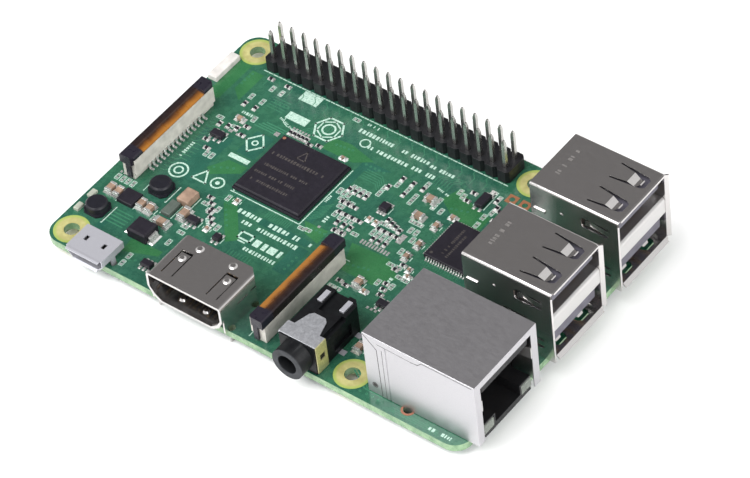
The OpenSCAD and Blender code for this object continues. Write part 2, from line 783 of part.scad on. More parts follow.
module hdmi_contact_set(room = 0) {
    t = 0.15;
    w = 0.3 + room;
    for (i = [-4.5:1:4.5])
        span([i - w / 2, hdmi_tongue_y + 0.4, hdmi_tongue_z + hdmi_tongue_t - 0.08 - room],
            [i + w / 2, hdmi_l - 1.5, hdmi_tongue_z + hdmi_tongue_t - 0.08 + t]);
    for (i = [-4:1:4])
        span([i - w / 2, hdmi_tongue_y + 0.4, hdmi_tongue_z - 0.07],
            [i + w / 2, hdmi_l - 1.5, hdmi_tongue_z + 0.08 + room]);
    for (i = [-4.5:0.5:4.5])
        span([i * 0.78 - 0.1 - room / 2, hdmi_l - 1.2, 0],
            [i * 0.78 + 0.1 + room / 2, hdmi_l + 0.9, 0.15 + room]);
}

module hdmi_insulator() {
    half = hdmi_w / 2 - sheet - 0.05;
    color([0.08, 0.08, 0.09]) on_hdmi() difference() {
        union() {
            intersection() {
                along_y(hdmi_outline(sheet + 0.05), hdmi_l - sheet - 0.05 - hdmi_block_y, hdmi_block_y);
                span([-half + 0.5, 0, 0], [half - 1, hdmi_l, hdmi_h]);
            }
            span([-hdmi_foot_w / 2, hdmi_l - hdmi_rear_notch + 0.05, 0.05],
                [hdmi_foot_w / 2, hdmi_l - 0.2, 1.5]);
            span([-hdmi_tongue_w / 2, hdmi_tongue_y, hdmi_tongue_z],
                [hdmi_tongue_w / 2, hdmi_block_y + 0.5, hdmi_tongue_z + hdmi_tongue_t]);
        }
        hdmi_contact_set(snug);
    }
}

module hdmi_contacts() {
    color([0.8, 0.65, 0.35]) on_hdmi() hdmi_contact_set();
}

// ---------------------------------------------------------------- power inlet
// Own frame: y = 0 is the front edge, x = 0 the centre line, z = 0 the board's top.

inlet_floor = 0.1;
inlet_taper = 1;

module on_inlet() {
    on_top(inlet_x, -inlet_over) children();
}

// Front outline of the inlet, wide at the top and narrow at the foot.
function inlet_outline(inset) = let (h = inlet_w / 2 - inset, foot = inlet_taper - inset * 0.4) [
    [-h, inlet_h - inset], [-h, inlet_floor + 1.1], [-h + foot, inlet_floor + inset],
    [h - foot, inlet_floor + inset], [h, inlet_floor + 1.1], [h, inlet_h - inset]
];

module micro_usb_shell() {
    half = inlet_w / 2;
    color([0.7, 0.69, 0.72]) on_inlet() {
        difference() {
            along_y(inlet_outline(0), inlet_l);
            along_y(inlet_outline(thin_sheet), inlet_l - thin_sheet + 1, -1);
            span([1.5, 2.4, inlet_h - 1], [2.2, 3.5, inlet_h + 1]);
            span([-2.2, 2.4, inlet_h - 1], [-1.5, 3.5, inlet_h + 1]);
        }
        inlet_lips();
        for (side = [-1, 1])
            block(thin_sheet, inlet_tail_w, 1.6 + board_t - tail_z, side * (half - thin_sheet / 2),
                inlet_over + inlet_tail_y, tail_z - board_t);
    }
}

// The lips above and below the inlet's mouth; the upper one stands out further.
module inlet_lips() {
    top_lip = 0.7;
    low_lip = 0.4;
    top_half = inlet_w / 2 - 0.35;
    low_half = inlet_w / 2 - inlet_taper - 0.2;
    translate([-top_half, 0, 0]) along_x([[0.1, inlet_h - thin_sheet], [-top_lip, inlet_h - 0.2],
        [-top_lip, inlet_h], [-top_lip / 2, inlet_h + 0.05], [0.1, inlet_h]], 2 * top_half);
    translate([-low_half, 0, 0]) along_x([[0.1, inlet_floor], [-low_lip + 0.1, inlet_floor - 0.3],
        [-low_lip, inlet_floor - 0.15], [0.1, inlet_floor + thin_sheet]], 2 * low_half);
}

module inlet_contact_set(room = 0) {
    w = 0.25 + room;
    for (i = [-2:2]) {
        span([i * 0.65 - w / 2, 1.2, 1.2 - room], [i * 0.65 + w / 2, inlet_l - 0.9, 1.3 + room]);
        span([i * 0.65 - w / 2, inlet_l - 0.7, 0], [i * 0.65 + w / 2, inlet_l + 0.5, 0.12 + room]);
    }
}

module micro_usb_insulator() {
    color([0.08, 0.08, 0.09]) on_inlet() difference() {
        union() {
            along_y(inlet_outline(thin_sheet + 0.03), 1, inlet_l - 1.25);
            span([-1.9, 0.9, 1.25], [1.9, inlet_l - 1, 1.85]);
        }
        inlet_contact_set(snug);
    }
}

module micro_usb_contacts() {
    color([0.8, 0.65, 0.35]) on_inlet() inlet_contact_set();
}

// ---------------------------------------------------------------- audio jack
// Own frame: y = 0 is the board's edge, x = 0 the centre line, z = 0 the board's top.

jack_axis_z = 2.95;
jack_clip_t = 0.2;
jack_bore_l = 11;

module on_jack() {
    on_top(jack_x, 0) children();
}

jack_front = 0.3;
jack_slot_y = 8.9;
jack_slot_l = 2.8;
jack_slot_w = 1.2;
jack_slot_depth = 1.4;
jack_slot_in = 1.3;
jack_shoulder = 0.7;

module audio_jack_body() {
    half = jack_w / 2;
    corner_cut = 1.4;
    color([0.06, 0.06, 0.07]) on_jack() difference() {
        union() {
            span([-half, jack_front, 0.05], [half, jack_l, jack_h]);
            translate([0, jack_front + 0.1, jack_axis_z]) rotate([90, 0, 0])
                cylinder(d = jack_barrel_d - 0.1, h = jack_front + 0.1 + jack_over);
            for (y = jack_peg_ys) translate([0, y, -board_t]) cylinder(d = jack_peg_d, h = board_t + 1);
        }
        translate([0, jack_bore_l - jack_over, jack_axis_z]) rotate([90, 0, 0])
            cylinder(d = jack_bore_d, h = jack_bore_l + 1);
        for (side = [-1, 1])
            block(jack_slot_w, jack_slot_l, 3, side * (half - jack_slot_in), jack_slot_y + jack_slot_l / 2,
                jack_h - jack_slot_depth);
        span([-half + 2.2, 7.6, jack_h - 0.6], [half - 2.2, jack_l + 1, jack_h + 1]);
        span([half - jack_shoulder, 3.3, jack_h - jack_shoulder], [half + 1, 8.4, jack_h + 1]);
        span([half - 0.4, 5, 1.2], [half + 1, 9.5, 3.6]);
        translate([half, jack_l, 0]) rotate([0, 0, 45]) block(corner_cut, corner_cut, 20, 0, 0, -1);
    }
}

module audio_jack_clip() {
    half = jack_w / 2 + jack_clip_t + 0.02;
    top = jack_h + jack_clip_t + 0.02;
    arm = 1.9;
    window = 1.2;
    color([0.72, 0.72, 0.75]) on_jack() {
        translate([0, 0, jack_h + 0.02]) linear_extrude(jack_clip_t) polygon([
            [-half, 0.5], [half, 0.5], [half, 3.1], [2.5, 3.1], [1.7, 5.9], [1.1, 6.5],
            [-1.1, 6.5], [-1.7, 5.9], [-2.5, 3.1], [-half, 3.1]
        ]);
        for (side = [0, 1]) mirror([side, 0, 0]) difference() {
            span([half - jack_clip_t, 0.5, 0.1], [half, 3.1, top]);
            block(2, window, window, half, arm, jack_axis_z - 0.4);
        }
    }
}

module audio_jack_contacts() {
    half = jack_w / 2;
    room = 0.15;
    color([0.78, 0.78, 0.8]) on_jack() for (side = [-1, 1]) {
        block(jack_slot_w - 2 * room, jack_slot_l - 2 * room, jack_slot_depth + 0.15,
            side * (half - jack_slot_in), jack_slot_y + jack_slot_l / 2, jack_h - jack_slot_depth + 0.02);
        for (y = [6.2, 10.4])
            span([side * (half + 0.55) - 0.53, y - 0.5, 0], [side * (half + 0.55) + 0.53, y + 0.5, 0.15]);
    }
}

// ---------------------------------------------------------------- ribbon connectors
// Own frame: y runs along the connector, +x is the side with the contact tails.

ribbon_slot_l = 16.4;
ribbon_slot_w = 1.05;
ribbon_undercut = 0.5;
ribbon_undercut_h = 1.3;
ribbon_wall = 0.25;
ribbon_gap = 0.08;
ribbon_latch_low = 3.5;
ribbon_wall_top = 4.5;
ribbon_floor = 1.2;
ribbon_leg_low = 0.5;

module on_display() {
    on_top(display_x, display_y) children();
}

module on_camera() {
    on_top(camera_x, camera_y) rotate([0, 0, 180]) children();
}

// The housing: a trough that holds the contacts, open at the top.
module ribbon_housing() {
    half = ribbon_d / 2;
    slot_start = half - ribbon_wall - ribbon_slot_w;
    rest_z = ribbon_latch_low - ribbon_gap;
    difference() {
        block(ribbon_d, ribbon_l, ribbon_wall_top - 0.05, 0, 0, 0.05);
        span([half - ribbon_undercut, -ribbon_l, -1], [half + 1, ribbon_l, ribbon_undercut_h]);
        span([slot_start, -ribbon_slot_l / 2, ribbon_floor],
            [half - ribbon_wall, ribbon_slot_l / 2, ribbon_h]);
        span([-half - 1, -ribbon_l, rest_z], [slot_start + 0.02, ribbon_l, ribbon_h]);
        for (side = [0, 1]) mirror([0, side, 0])
            span([-half - 1, ribbon_slot_l / 2, rest_z], [half - ribbon_wall, ribbon_l, ribbon_h]);
        ribbon_contact_set(snug);
    }
}

// The latch: a bar with a wedge along the slot and a block at each end.
module ribbon_latch() {
    half = ribbon_d / 2;
    inner = half - ribbon_wall - ribbon_gap;
    bar = inner - ribbon_slot_w + ribbon_gap;
    over = ribbon_wall_top + ribbon_gap;
    wedge_half = ribbon_slot_l / 2 - ribbon_gap;
    end = ribbon_l / 2 + 0.5;
    across_y([
        [-half, ribbon_latch_low], [bar, ribbon_latch_low], [bar, ribbon_h - 0.2],
        [bar - 0.2, ribbon_h], [-half + 0.2, ribbon_h], [-half, ribbon_h - 0.2]
    ], 2 * wedge_half);
    across_y([
        [bar - 0.1, ribbon_latch_low], [bar + 0.08, ribbon_latch_low], [bar + 0.25, 2.6],
        [bar + 0.5, 2.6], [inner, over - 0.5], [inner, over], [half - 0.02, over],
        [half - 0.02, over + 0.15], [bar - 0.1, ribbon_h - 0.2]
    ], 2 * wedge_half);
    for (side = [0, 1]) mirror([0, side, 0]) {
        translate([0, wedge_half, 0]) ribbon_ear(half, inner, over, end - wedge_half);
        span([-0.3, ribbon_l / 2 + ribbon_gap, ribbon_leg_low], [0.6, end, ribbon_latch_low + 0.5]);
    }
}

// One end block of the latch, with its outer corner cut back.
module ribbon_ear(half, inner, over, l) {
    cut = 0.6;
    intersection() {
        across_y([
            [-half, ribbon_latch_low], [inner, ribbon_latch_low], [inner, over], [half - 0.02, over],
            [half - 0.02, ribbon_h - 0.25], [half - 0.25, ribbon_h], [-half + 0.2, ribbon_h],
            [-half, ribbon_h - 0.2]
        ], 2 * l);
        linear_extrude(20) polygon([
            [-half, 0], [half, 0], [half, l - cut], [half - cut, l], [-half, l]
        ]);
    }
}

// Tails that leave under the wall, step down and lie on the board.
module ribbon_contact_set(room = 0) {
    half = ribbon_d / 2;
    wall = half - ribbon_wall;
    w = 0.45 + room;
    for (i = [0:ribbon_pins - 1])
        across_y([
            [wall - 0.3 - room, ribbon_h - 1.6], [wall - 0.3 - room, 0.9 - room],
            [half - 0.35, 0.9 - room], [half - 0.05, 0], [half + 0.7, 0],
            [half + 0.7, 0.2], [half + 0.05, 0.2], [half - 0.2, 1.15 + room],
            [wall - 0.05 + room, 1.15 + room], [wall - 0.05 + room, ribbon_h - 1.6]
        ], w, i - (ribbon_pins - 1) / 2);
}

module display_connector_housing() { color([0.85, 0.83, 0.76]) on_display() ribbon_housing(); }
module display_connector_latch() { color([0.25, 0.17, 0.1]) on_display() ribbon_latch(); }
module display_connector_contacts() { color([0.72, 0.72, 0.7]) on_display() ribbon_contact_set(); }
module camera_connector_housing() { color([0.85, 0.83, 0.76]) on_camera() ribbon_housing(); }
module camera_connector_latch() { color([0.25, 0.17, 0.1]) on_camera() ribbon_latch(); }
module camera_connector_contacts() { color([0.72, 0.72, 0.7]) on_camera() ribbon_contact_set(); }

// ---------------------------------------------------------------- chips

cpu_place = [27.05, 31.9];
lan_chip_place = [60.3, 34];
memory_place = [27, 31];
wireless_place = [8.5, 43.5];
antenna_place = [1.2, 46.3];

// The processor: a base plate and a slightly smaller moulded cap.
module processor() {
    base_z = 0.1;
    base_h = 0.45;
    cap_side = cpu_side - 0.5;
    color([0.13, 0.12, 0.14]) on_top(cpu_place.x, cpu_place.y) {
        block(cpu_side, cpu_side, base_h, 0, 0, base_z);
        translate([0, 0, base_z + base_h]) chip(cap_side, cap_side, cpu_h - base_z - base_h, 0.25);
    }
}

module usb_network_controller() {
    color([0.13, 0.12, 0.14]) on_top(lan_chip_place.x, lan_chip_place.y)
        chip(lan_chip_side, lan_chip_side, lan_chip_h);
}

module memory_chip() {
    color([0.12, 0.12, 0.13]) under(memory_place.x, memory_place.y) translate([0, 0, 0.1]) chip(12, 11.5, 0.9);
}

module wireless_chip() {
    color([0.12, 0.12, 0.13]) under(wireless_place.x, wireless_place.y)
        translate([0, 0, 0.05]) chip(5, 6, 0.6);
}

module chip_antenna() {
    color([0.86, 0.85, 0.82]) on_top(antenna_place.x, antenna_place.y) chip(1.9, 6.5, 1.1, 0.15);
}

// ---------------------------------------------------------------- power section

inductor_places = [[10.2, 18.6], [4.1, 9.4]];
inductor_side = 4;
inductor_h = 1.7;

// A moulded inductor: square foot, round body with a bevelled rim.
module inductor() {
    r = inductor_side / 2;
    cut = 0.8;
    linear_extrude(0.35) polygon([
        [-r, -r + cut], [-r + cut, -r], [r - cut, -r], [r, -r + cut],
        [r, r - cut], [r - cut, r], [-r + cut, r], [-r, r - cut]
    ]);
    translate([0, 0, 0.35]) cylinder(r = r - 0.1, h = inductor_h - 0.65, $fn = 40);
    translate([0, 0, inductor_h - 0.3]) cylinder(r1 = r - 0.1, r2 = r - 0.4, h = 0.3, $fn = 40);
}

module power_inductors() {
    color([0.15, 0.14, 0.17]) for (p = inductor_places) on_top(p.x, p.y) inductor();
}

diode_x = 14.2;
diode_y = 9;
diode_l = 3.8;
diode_w = 3.5;
diode_h = 1.9;

module power_diode() {
    color([0.12, 0.12, 0.14]) on_top(diode_x, diode_y) difference() {
        translate([0, 0, 0.1]) chip(diode_l, diode_w, diode_h, 0.3);
        block(diode_l + 1, 2.2, 0.3, 0, 0, 0);
    }
}

module power_diode_leads() {
    color([0.78, 0.78, 0.78]) on_top(diode_x, diode_y) for (side = [0, 1]) mirror([side, 0, 0])
        across_y([
            [diode_l / 2 - 1, 0], [diode_l / 2 + 0.8, 0], [diode_l / 2 + 0.8, 0.25],
            [diode_l / 2 + 0.4, 1.1], [diode_l / 2 + 0.05, 1.1], [diode_l / 2 + 0.2, 0.25],
            [diode_l / 2 - 1, 0.25]
        ], 2);
}

module power_regulator() {
    color([0.13, 0.13, 0.15]) on_top(7.3, 13.9) chip(3.2, 3.1, 0.8);
}

module power_fuse() {
    color([0.42, 0.46, 0.42]) on_top(14.6, 15.7) chip(1.8, 3.2, 0.8);
}

module bulk_capacitor() {
    color([0.66, 0.52, 0.42]) on_top(15.7, 18.9) chip(2.4, 3.1, 1.4);
}

// ---------------------------------------------------------------- small parts

// Each place is [x, y, length, width, height, turned], measured like the sockets.
capacitor_places = [
    [3.2, 14, 2, 1.2, 0.9, 1], [4.9, 14, 2, 1.2, 0.9, 1],
    [9.9, 13.9, 2, 1.2, 0.9, 1], [11.7, 13.8, 2, 1.2, 0.9, 1],
    [15.4, 12.4, 2.6, 1.3, 1, 0], [17.3, 15.9, 2.6, 1.3, 1, 1],
    [49.4, 40.3, 2, 1.2, 0.9, 0], [50, 36.2, 2, 1.2, 0.9, 0],
    [53.6, 36, 1.6, 0.8, 0.7, 1], [53.7, 31.2, 1.6, 0.8, 0.7, 1], [53.6, 28, 1.6, 0.8, 0.7, 1],
    [54.9, 39, 1.2, 0.8, 0.6, 0], [50.6, 19.3, 2, 1.2, 0.9, 1], [52.4, 18.4, 1, 0.6, 0.5, 0],
    [59.2, 8.3, 2, 1.2, 0.9, 1], [66.2, 47.8, 1.6, 0.8, 0.7, 0], [22.6, 23, 1, 0.5, 0.5, 1],
    [11.2, 38.2, 1.6, 0.8, 0.7, 0], [43.4, 31.5, 0.9, 0.5, 0.5, 1], [44.8, 31.4, 0.9, 0.5, 0.5, 1],
    [55.7, 25.9, 1, 0.5, 0.5, 1], [56.4, 24.7, 1, 0.5, 0.5, 0], [22.3, 15.5, 1, 0.5, 0.5, 1],
    [31.4, 40.2, 1, 0.5, 0.5, 0], [65.9, 29, 1.6, 0.8, 0.7, 0]
];

// Small resistors in rows: [first x, first y, count, step x, step y, turned].
resistor_rows = [
    [20.2, 40.3, 5, 0.85, 0, 1], [36.6, 35.2, 4, 1.1, 0, 1], [37.4, 32.3, 3, 1.2, 0, 0],
    [38.4, 30.2, 4, 1.3, 0, 0], [39.4, 28.2, 3, 1.3, 0, 1], [40.2, 26.5, 2, 1.4, 0, 0],
    [46.2, 33, 4, 1, -0.35, 1], [46.1, 30.6, 4, 1.2, 0, 0], [46.6, 28.3, 3, 1.2, 0, 1],
    [41.6, 39, 2, 3.2, 0, 1], [42.6, 41.7, 3, 2.1, 0, 1], [18.4, 21.4, 3, 1, -1, 0],
    [20.4, 18.7, 3, 0.9, -0.9, 0], [8.8, 35.6, 3, 1.6, 0.3, 1], [9.4, 41.6, 2, 2.2, 0, 1],
    [9.6, 48.6, 2, 3.6, 0, 0], [53.7, 24.9, 2, 0.6, 1.4, 0], [54.4, 21.6, 3, 0.3, -1.2, 0],
    [47.6, 18.2, 2, 1.4, -0.3, 0], [58.6, 45.9, 2, 0.9, -1.3, 1], [54.4, 43.4, 2, 0, 2, 0],
    [60.4, 44.2, 3, 0.4, -2.2, 0], [13.2, 37.4, 2, 0.5, -2, 0], [24.6, 39.7, 2, 1.6, 0.6, 0],
    [64.9, 22.3, 2, 1.3, 0, 1], [9.2, 31.55, 2, 1.4, -1.6, 0]
];
resistor_places = [
    for (r = resistor_rows, i = [0:r[2] - 1]) [r[0] + i * r[3], r[1] + i * r[4], 1, 0.5, 0.35, r[5]]
];

// The body of a two-ended chip part, between its metal ends.
module chip_body(p) {
    end = p[2] * 0.22;
    on_top(p[0], p[1]) rotate([0, 0, 90 * p[5]])
        block(p[2] - 2 * end, p[3] * 0.96, p[4] * 0.97, 0, 0, 0.02);
}

// The metal ends of a two-ended chip part.
module chip_ends(p) {
    end = p[2] * 0.22;
    on_top(p[0], p[1]) rotate([0, 0, 90 * p[5]]) for (side = [-1, 1])
        block(end, p[3], p[4], side * (p[2] - end) / 2, 0, 0.01);
}

module ceramic_capacitors() { color([0.66, 0.53, 0.42]) for (p = capacitor_places) chip_body(p); }
module capacitor_terminals() { color([0.8, 0.8, 0.78]) for (p = capacitor_places) chip_ends(p); }
module chip_resistors() { color([0.1, 0.1, 0.11]) for (p = resistor_places) chip_body(p); }
module resistor_terminals() { color([0.8, 0.8, 0.78]) for (p = resistor_places) chip_ends(p); }

// Each place is [x, y, length, width, leads on each long side].
transistor_places = [
    [19.3, 3.9, 2, 1.3, 3], [25.2, 14.7, 1.3, 1.2, 2], [19.5, 15.6, 2.1, 1.3, 3],
    [10.4, 33.2, 2.4, 1.4, 3], [44.2, 34.8, 1.6, 1.6, 3], [56.8, 44.6, 1.5, 3, 2],
    [56.9, 17.6, 2.2, 1.3, 3]
];
lead_t = 0.15;

module small_transistors() {
    color([0.1, 0.1, 0.11]) for (p = transistor_places)
        on_top(p[0], p[1], 0.08) chip(p[2], p[3], 0.8, 0.1);
}

module transistor_leads() {
    reach = 0.55;
    color([0.78, 0.78, 0.78]) for (p = transistor_places, side = [-1, 1], i = [0:p[4] - 1]) {
        step = (p[2] - 0.4) / (p[4] - 1);
        on_top(p[0] - (p[2] - 0.4) / 2 + i * step, p[1] + side * (p[3] + reach) / 2, 0)
            block(0.3, reach, lead_t);
    }
}

module status_lights() {
    color([0.92, 0.92, 0.88]) for (y = [7.9, 11.4]) on_top(1.3, y) chip(1, 1.7, 0.6, 0.1);
}

// ---------------------------------------------------------------- card slot
// Own frame: under the board, z grows downwards, x = 0 is the card's mouth.

card_x = 0.4;
card_y = 28;
card_sheet = 0.15;
card_base_h = 0.45;

module on_card() {
    under(card_x, card_y) children();
}

module card_slot_base() {
    half = card_w / 2 - card_sheet - 0.05;
    color([0.12, 0.12, 0.13]) on_card() difference() {
        union() {
            span([0.3, -half, 0.02], [card_l - 0.2, half, card_base_h]);
            span([card_l - 1.4, -half, 0.02], [card_l - 0.2, half, card_h - card_sheet - 0.05]);
        }
        card_contact_set(snug);
    }
}

module card_slot_cover() {
    half = card_w / 2;
    color([0.74, 0.74, 0.74]) on_card() difference() {
        span([0, -half, 0.02], [card_l, half, card_h]);
        span([-1, -half + card_sheet, -1], [card_l - 0.1, half - card_sheet, card_h - card_sheet]);
        translate([-1.2, 0, 0]) cylinder(d = 7, h = card_h + 1, $fn = 48);
        for (y = [-4.2, 4.2]) span([6, y - 0.6, card_h - 0.5], [10, y + 0.6, card_h + 1]);
    }
}

module card_contact_set(room = 0) {
    w = 0.6 + room;
    for (i = [-3.5:1:3.5])
        across_y([
            [3.2, card_base_h - 0.15 - room], [card_l - 1.5, card_base_h - 0.15 - room],
            [card_l - 1.5, card_base_h + 0.02], [8, card_base_h + 0.02],
            [5.5, card_base_h + 0.35], [4.6, card_base_h + 0.2], [4.7, card_base_h + 0.1],
            [5.5, card_base_h + 0.2], [7.4, card_base_h], [3.2, card_base_h]
        ], w, i * 1.1);
}

module card_slot_contacts() {
    color([0.8, 0.66, 0.35]) on_card() card_contact_set();
}

// ---------------------------------------------------------------- nodes

circuit_board();
mounting_pads();
header_housing();
header_pins();
usb_pair_1_shell();
usb_pair_1_divider();
usb_pair_1_insulator();
usb_pair_1_contacts();
usb_pair_2_shell();
usb_pair_2_divider();
usb_pair_2_insulator();
usb_pair_2_contacts();
ethernet_shell();
ethernet_ground_springs();
ethernet_insulator();
ethernet_contacts();
ethernet_left_light_pipe();
ethernet_right_light_pipe();
ethernet_magnetics();
hdmi_shell();
hdmi_insulator();
hdmi_contacts();
micro_usb_shell();
micro_usb_insulator();
micro_usb_contacts();
audio_jack_body();
audio_jack_clip();
audio_jack_contacts();
display_connector_housing();
display_connector_latch();
display_connector_contacts();
camera_connector_housing();
camera_connector_latch();
camera_connector_contacts();
processor();
usb_network_controller();
memory_chip();
wireless_chip();
chip_antenna();
power_inductors();
power_diode();
power_diode_leads();
power_regulator();
power_fuse();
bulk_capacitor();
status_lights();
ceramic_capacitors();
capacitor_terminals();
chip_resistors();
resistor_terminals();
small_transistors();
transistor_leads();
empty_header_pads();
card_slot_base();
card_slot_cover();
card_slot_contacts();
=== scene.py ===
"""Looks of the single board computer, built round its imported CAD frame. All lengths in metres."""
import math
import random

import bmesh
import bpy
from mathutils import Matrix, Vector


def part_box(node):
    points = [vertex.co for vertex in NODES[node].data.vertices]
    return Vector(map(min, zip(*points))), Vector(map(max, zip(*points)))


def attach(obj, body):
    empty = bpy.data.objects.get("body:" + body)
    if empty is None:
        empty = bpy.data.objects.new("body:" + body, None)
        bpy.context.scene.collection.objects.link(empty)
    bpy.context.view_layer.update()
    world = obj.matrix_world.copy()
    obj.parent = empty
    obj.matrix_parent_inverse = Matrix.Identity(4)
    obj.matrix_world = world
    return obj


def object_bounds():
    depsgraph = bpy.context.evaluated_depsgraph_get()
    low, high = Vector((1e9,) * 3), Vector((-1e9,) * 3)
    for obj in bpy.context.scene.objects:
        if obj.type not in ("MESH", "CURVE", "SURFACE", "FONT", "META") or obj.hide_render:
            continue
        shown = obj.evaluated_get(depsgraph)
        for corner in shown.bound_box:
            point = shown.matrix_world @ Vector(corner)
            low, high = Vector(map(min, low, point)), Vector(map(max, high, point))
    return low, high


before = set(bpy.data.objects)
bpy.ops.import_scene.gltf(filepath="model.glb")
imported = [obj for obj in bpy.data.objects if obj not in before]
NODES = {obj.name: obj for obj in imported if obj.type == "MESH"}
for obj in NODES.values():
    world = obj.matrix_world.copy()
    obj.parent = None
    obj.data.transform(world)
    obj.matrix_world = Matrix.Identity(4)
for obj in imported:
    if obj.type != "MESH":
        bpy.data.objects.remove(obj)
CAD_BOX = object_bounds()
MM = 0.001
BOARD_LOW, BOARD_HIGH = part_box("circuit_board")
TOP = BOARD_HIGH.z
BOTTOM = BOARD_LOW.z
BOARD = "board"
THICKNESS = (TOP - BOTTOM) / MM


def at(x, y, z=0.0):
    """A place given in millimetres from the board's corner by the power inlet, z above the board's top."""
    return Vector((BOARD_LOW.x + x * MM, BOARD_LOW.y + y * MM, TOP + z * MM))


def corner_mm(point):
    """The same three millimetre numbers back from a place in the frame."""
    return Vector(((point.x - BOARD_LOW.x) / MM, (point.y - BOARD_LOW.y) / MM, (point.z - TOP) / MM))


def box_mm(node):
    low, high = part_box(node)
    return corner_mm(low), corner_mm(high)


# ---------------------------------------------------------------- camera, light, floor

def make_camera():
    """The photograph's viewpoint: a long lens, high over the corner with the network socket."""
    azimuth, elevation, roll = math.radians(42.52), math.radians(46.23), math.radians(-7.21)
    distance = 631.4 * MM
    aim = (BOARD_LOW + BOARD_HIGH) / 2
    aim.z = BOTTOM
    back = Vector((
        math.sin(azimuth) * math.cos(elevation),
        -math.cos(azimuth) * math.cos(elevation),
        math.sin(elevation),
    ))
    level = Vector((0, 0, 1)).cross(back).normalized()
    upright = back.cross(level)
    right = math.cos(roll) * level + math.sin(roll) * upright
    up = math.cos(roll) * upright - math.sin(roll) * level
    place = aim + right * 3.65 * MM - up * 0.41 * MM + back * distance
    data = bpy.data.cameras.new("camera")
    data.sensor_width = 36
    data.lens = 187.15
    data.clip_start = 0.01
    camera = bpy.data.objects.new("camera", data)
    turn = Matrix((right, up, back)).transposed().to_4x4()
    camera.matrix_world = Matrix.Translation(place) @ turn
    bpy.context.scene.collection.objects.link(camera)
    bpy.context.scene.camera = camera


def make_world():
    """A white studio with a greyer patch high behind the board, which the flat metal tops reflect."""
    world = bpy.data.worlds.new("studio")
    bpy.context.scene.world = world
    world.use_nodes = True
    nodes, links = world.node_tree.nodes, world.node_tree.links
    nodes.clear()
    out = nodes.new("ShaderNodeOutputWorld")
    background = nodes.new("ShaderNodeBackground")
    coordinates = nodes.new("ShaderNodeTexCoord")
    towards = nodes.new("ShaderNodeVectorMath")
    towards.operation = "DOT_PRODUCT"
    towards.inputs[1].default_value = Vector((-0.47, 0.51, 0.72)).normalized()
    ramp = nodes.new("ShaderNodeValToRGB")
    ramp.color_ramp.interpolation = "EASE"
    ramp.color_ramp.elements[0].position = 0.70
    ramp.color_ramp.elements[0].color = (1.0, 1.0, 1.0, 1)
    ramp.color_ramp.elements[1].position = 0.955
    ramp.color_ramp.elements[1].color = (0.225, 0.218, 0.218, 1)
    links.new(coordinates.outputs["Generated"], towards.inputs[0])
    links.new(towards.outputs["Value"], ramp.inputs["Fac"])
    links.new(ramp.outputs["Color"], background.inputs["Color"])
    background.inputs["Strength"].default_value = 0.9
    links.new(background.outputs["Background"], out.inputs["Surface"])


def soft_box(name, place, size, power):
    """A square light that faces the middle of the scene."""
    data = bpy.data.lights.new(name, "AREA")
    data.shape = "RECTANGLE"
    data.size, data.size_y = size
    data.energy = power
    light = bpy.data.objects.new(name, data)
    light.location = place
    light.rotation_mode = "QUATERNION"
    light.rotation_quaternion = (-Vector(place)).to_track_quat("-Z", "Y")
    bpy.context.scene.collection.objects.link(light)


def make_floor():
    """Pale paper, just clear of the lowest piece."""
    clear = 0.02 * MM
    bm = bmesh.new()
    bmesh.ops.create_grid(bm, x_segments=4, y_segments=4, size=1.5)
    mesh = bpy.data.meshes.new("floor")
    bm.to_mesh(mesh)
    bm.free()
    floor = bpy.data.objects.new("floor", mesh)
    floor.location.z = CAD_BOX[0].z - clear
    bpy.context.scene.collection.objects.link(floor)
    paper = material("floor_paper")
    shader = paper.node_tree.nodes["Principled BSDF"]
    shader.inputs["Base Color"].default_value = (0.95, 0.95, 0.95, 1)
    shader.inputs["Roughness"].default_value = 0.8
    shader.inputs["Specular IOR Level"].default_value = 0.1
    mesh.materials.append(paper)


# ---------------------------------------------------------------- materials

def material(name):
    made = bpy.data.materials.new(name)
    made.use_nodes = True
    return made


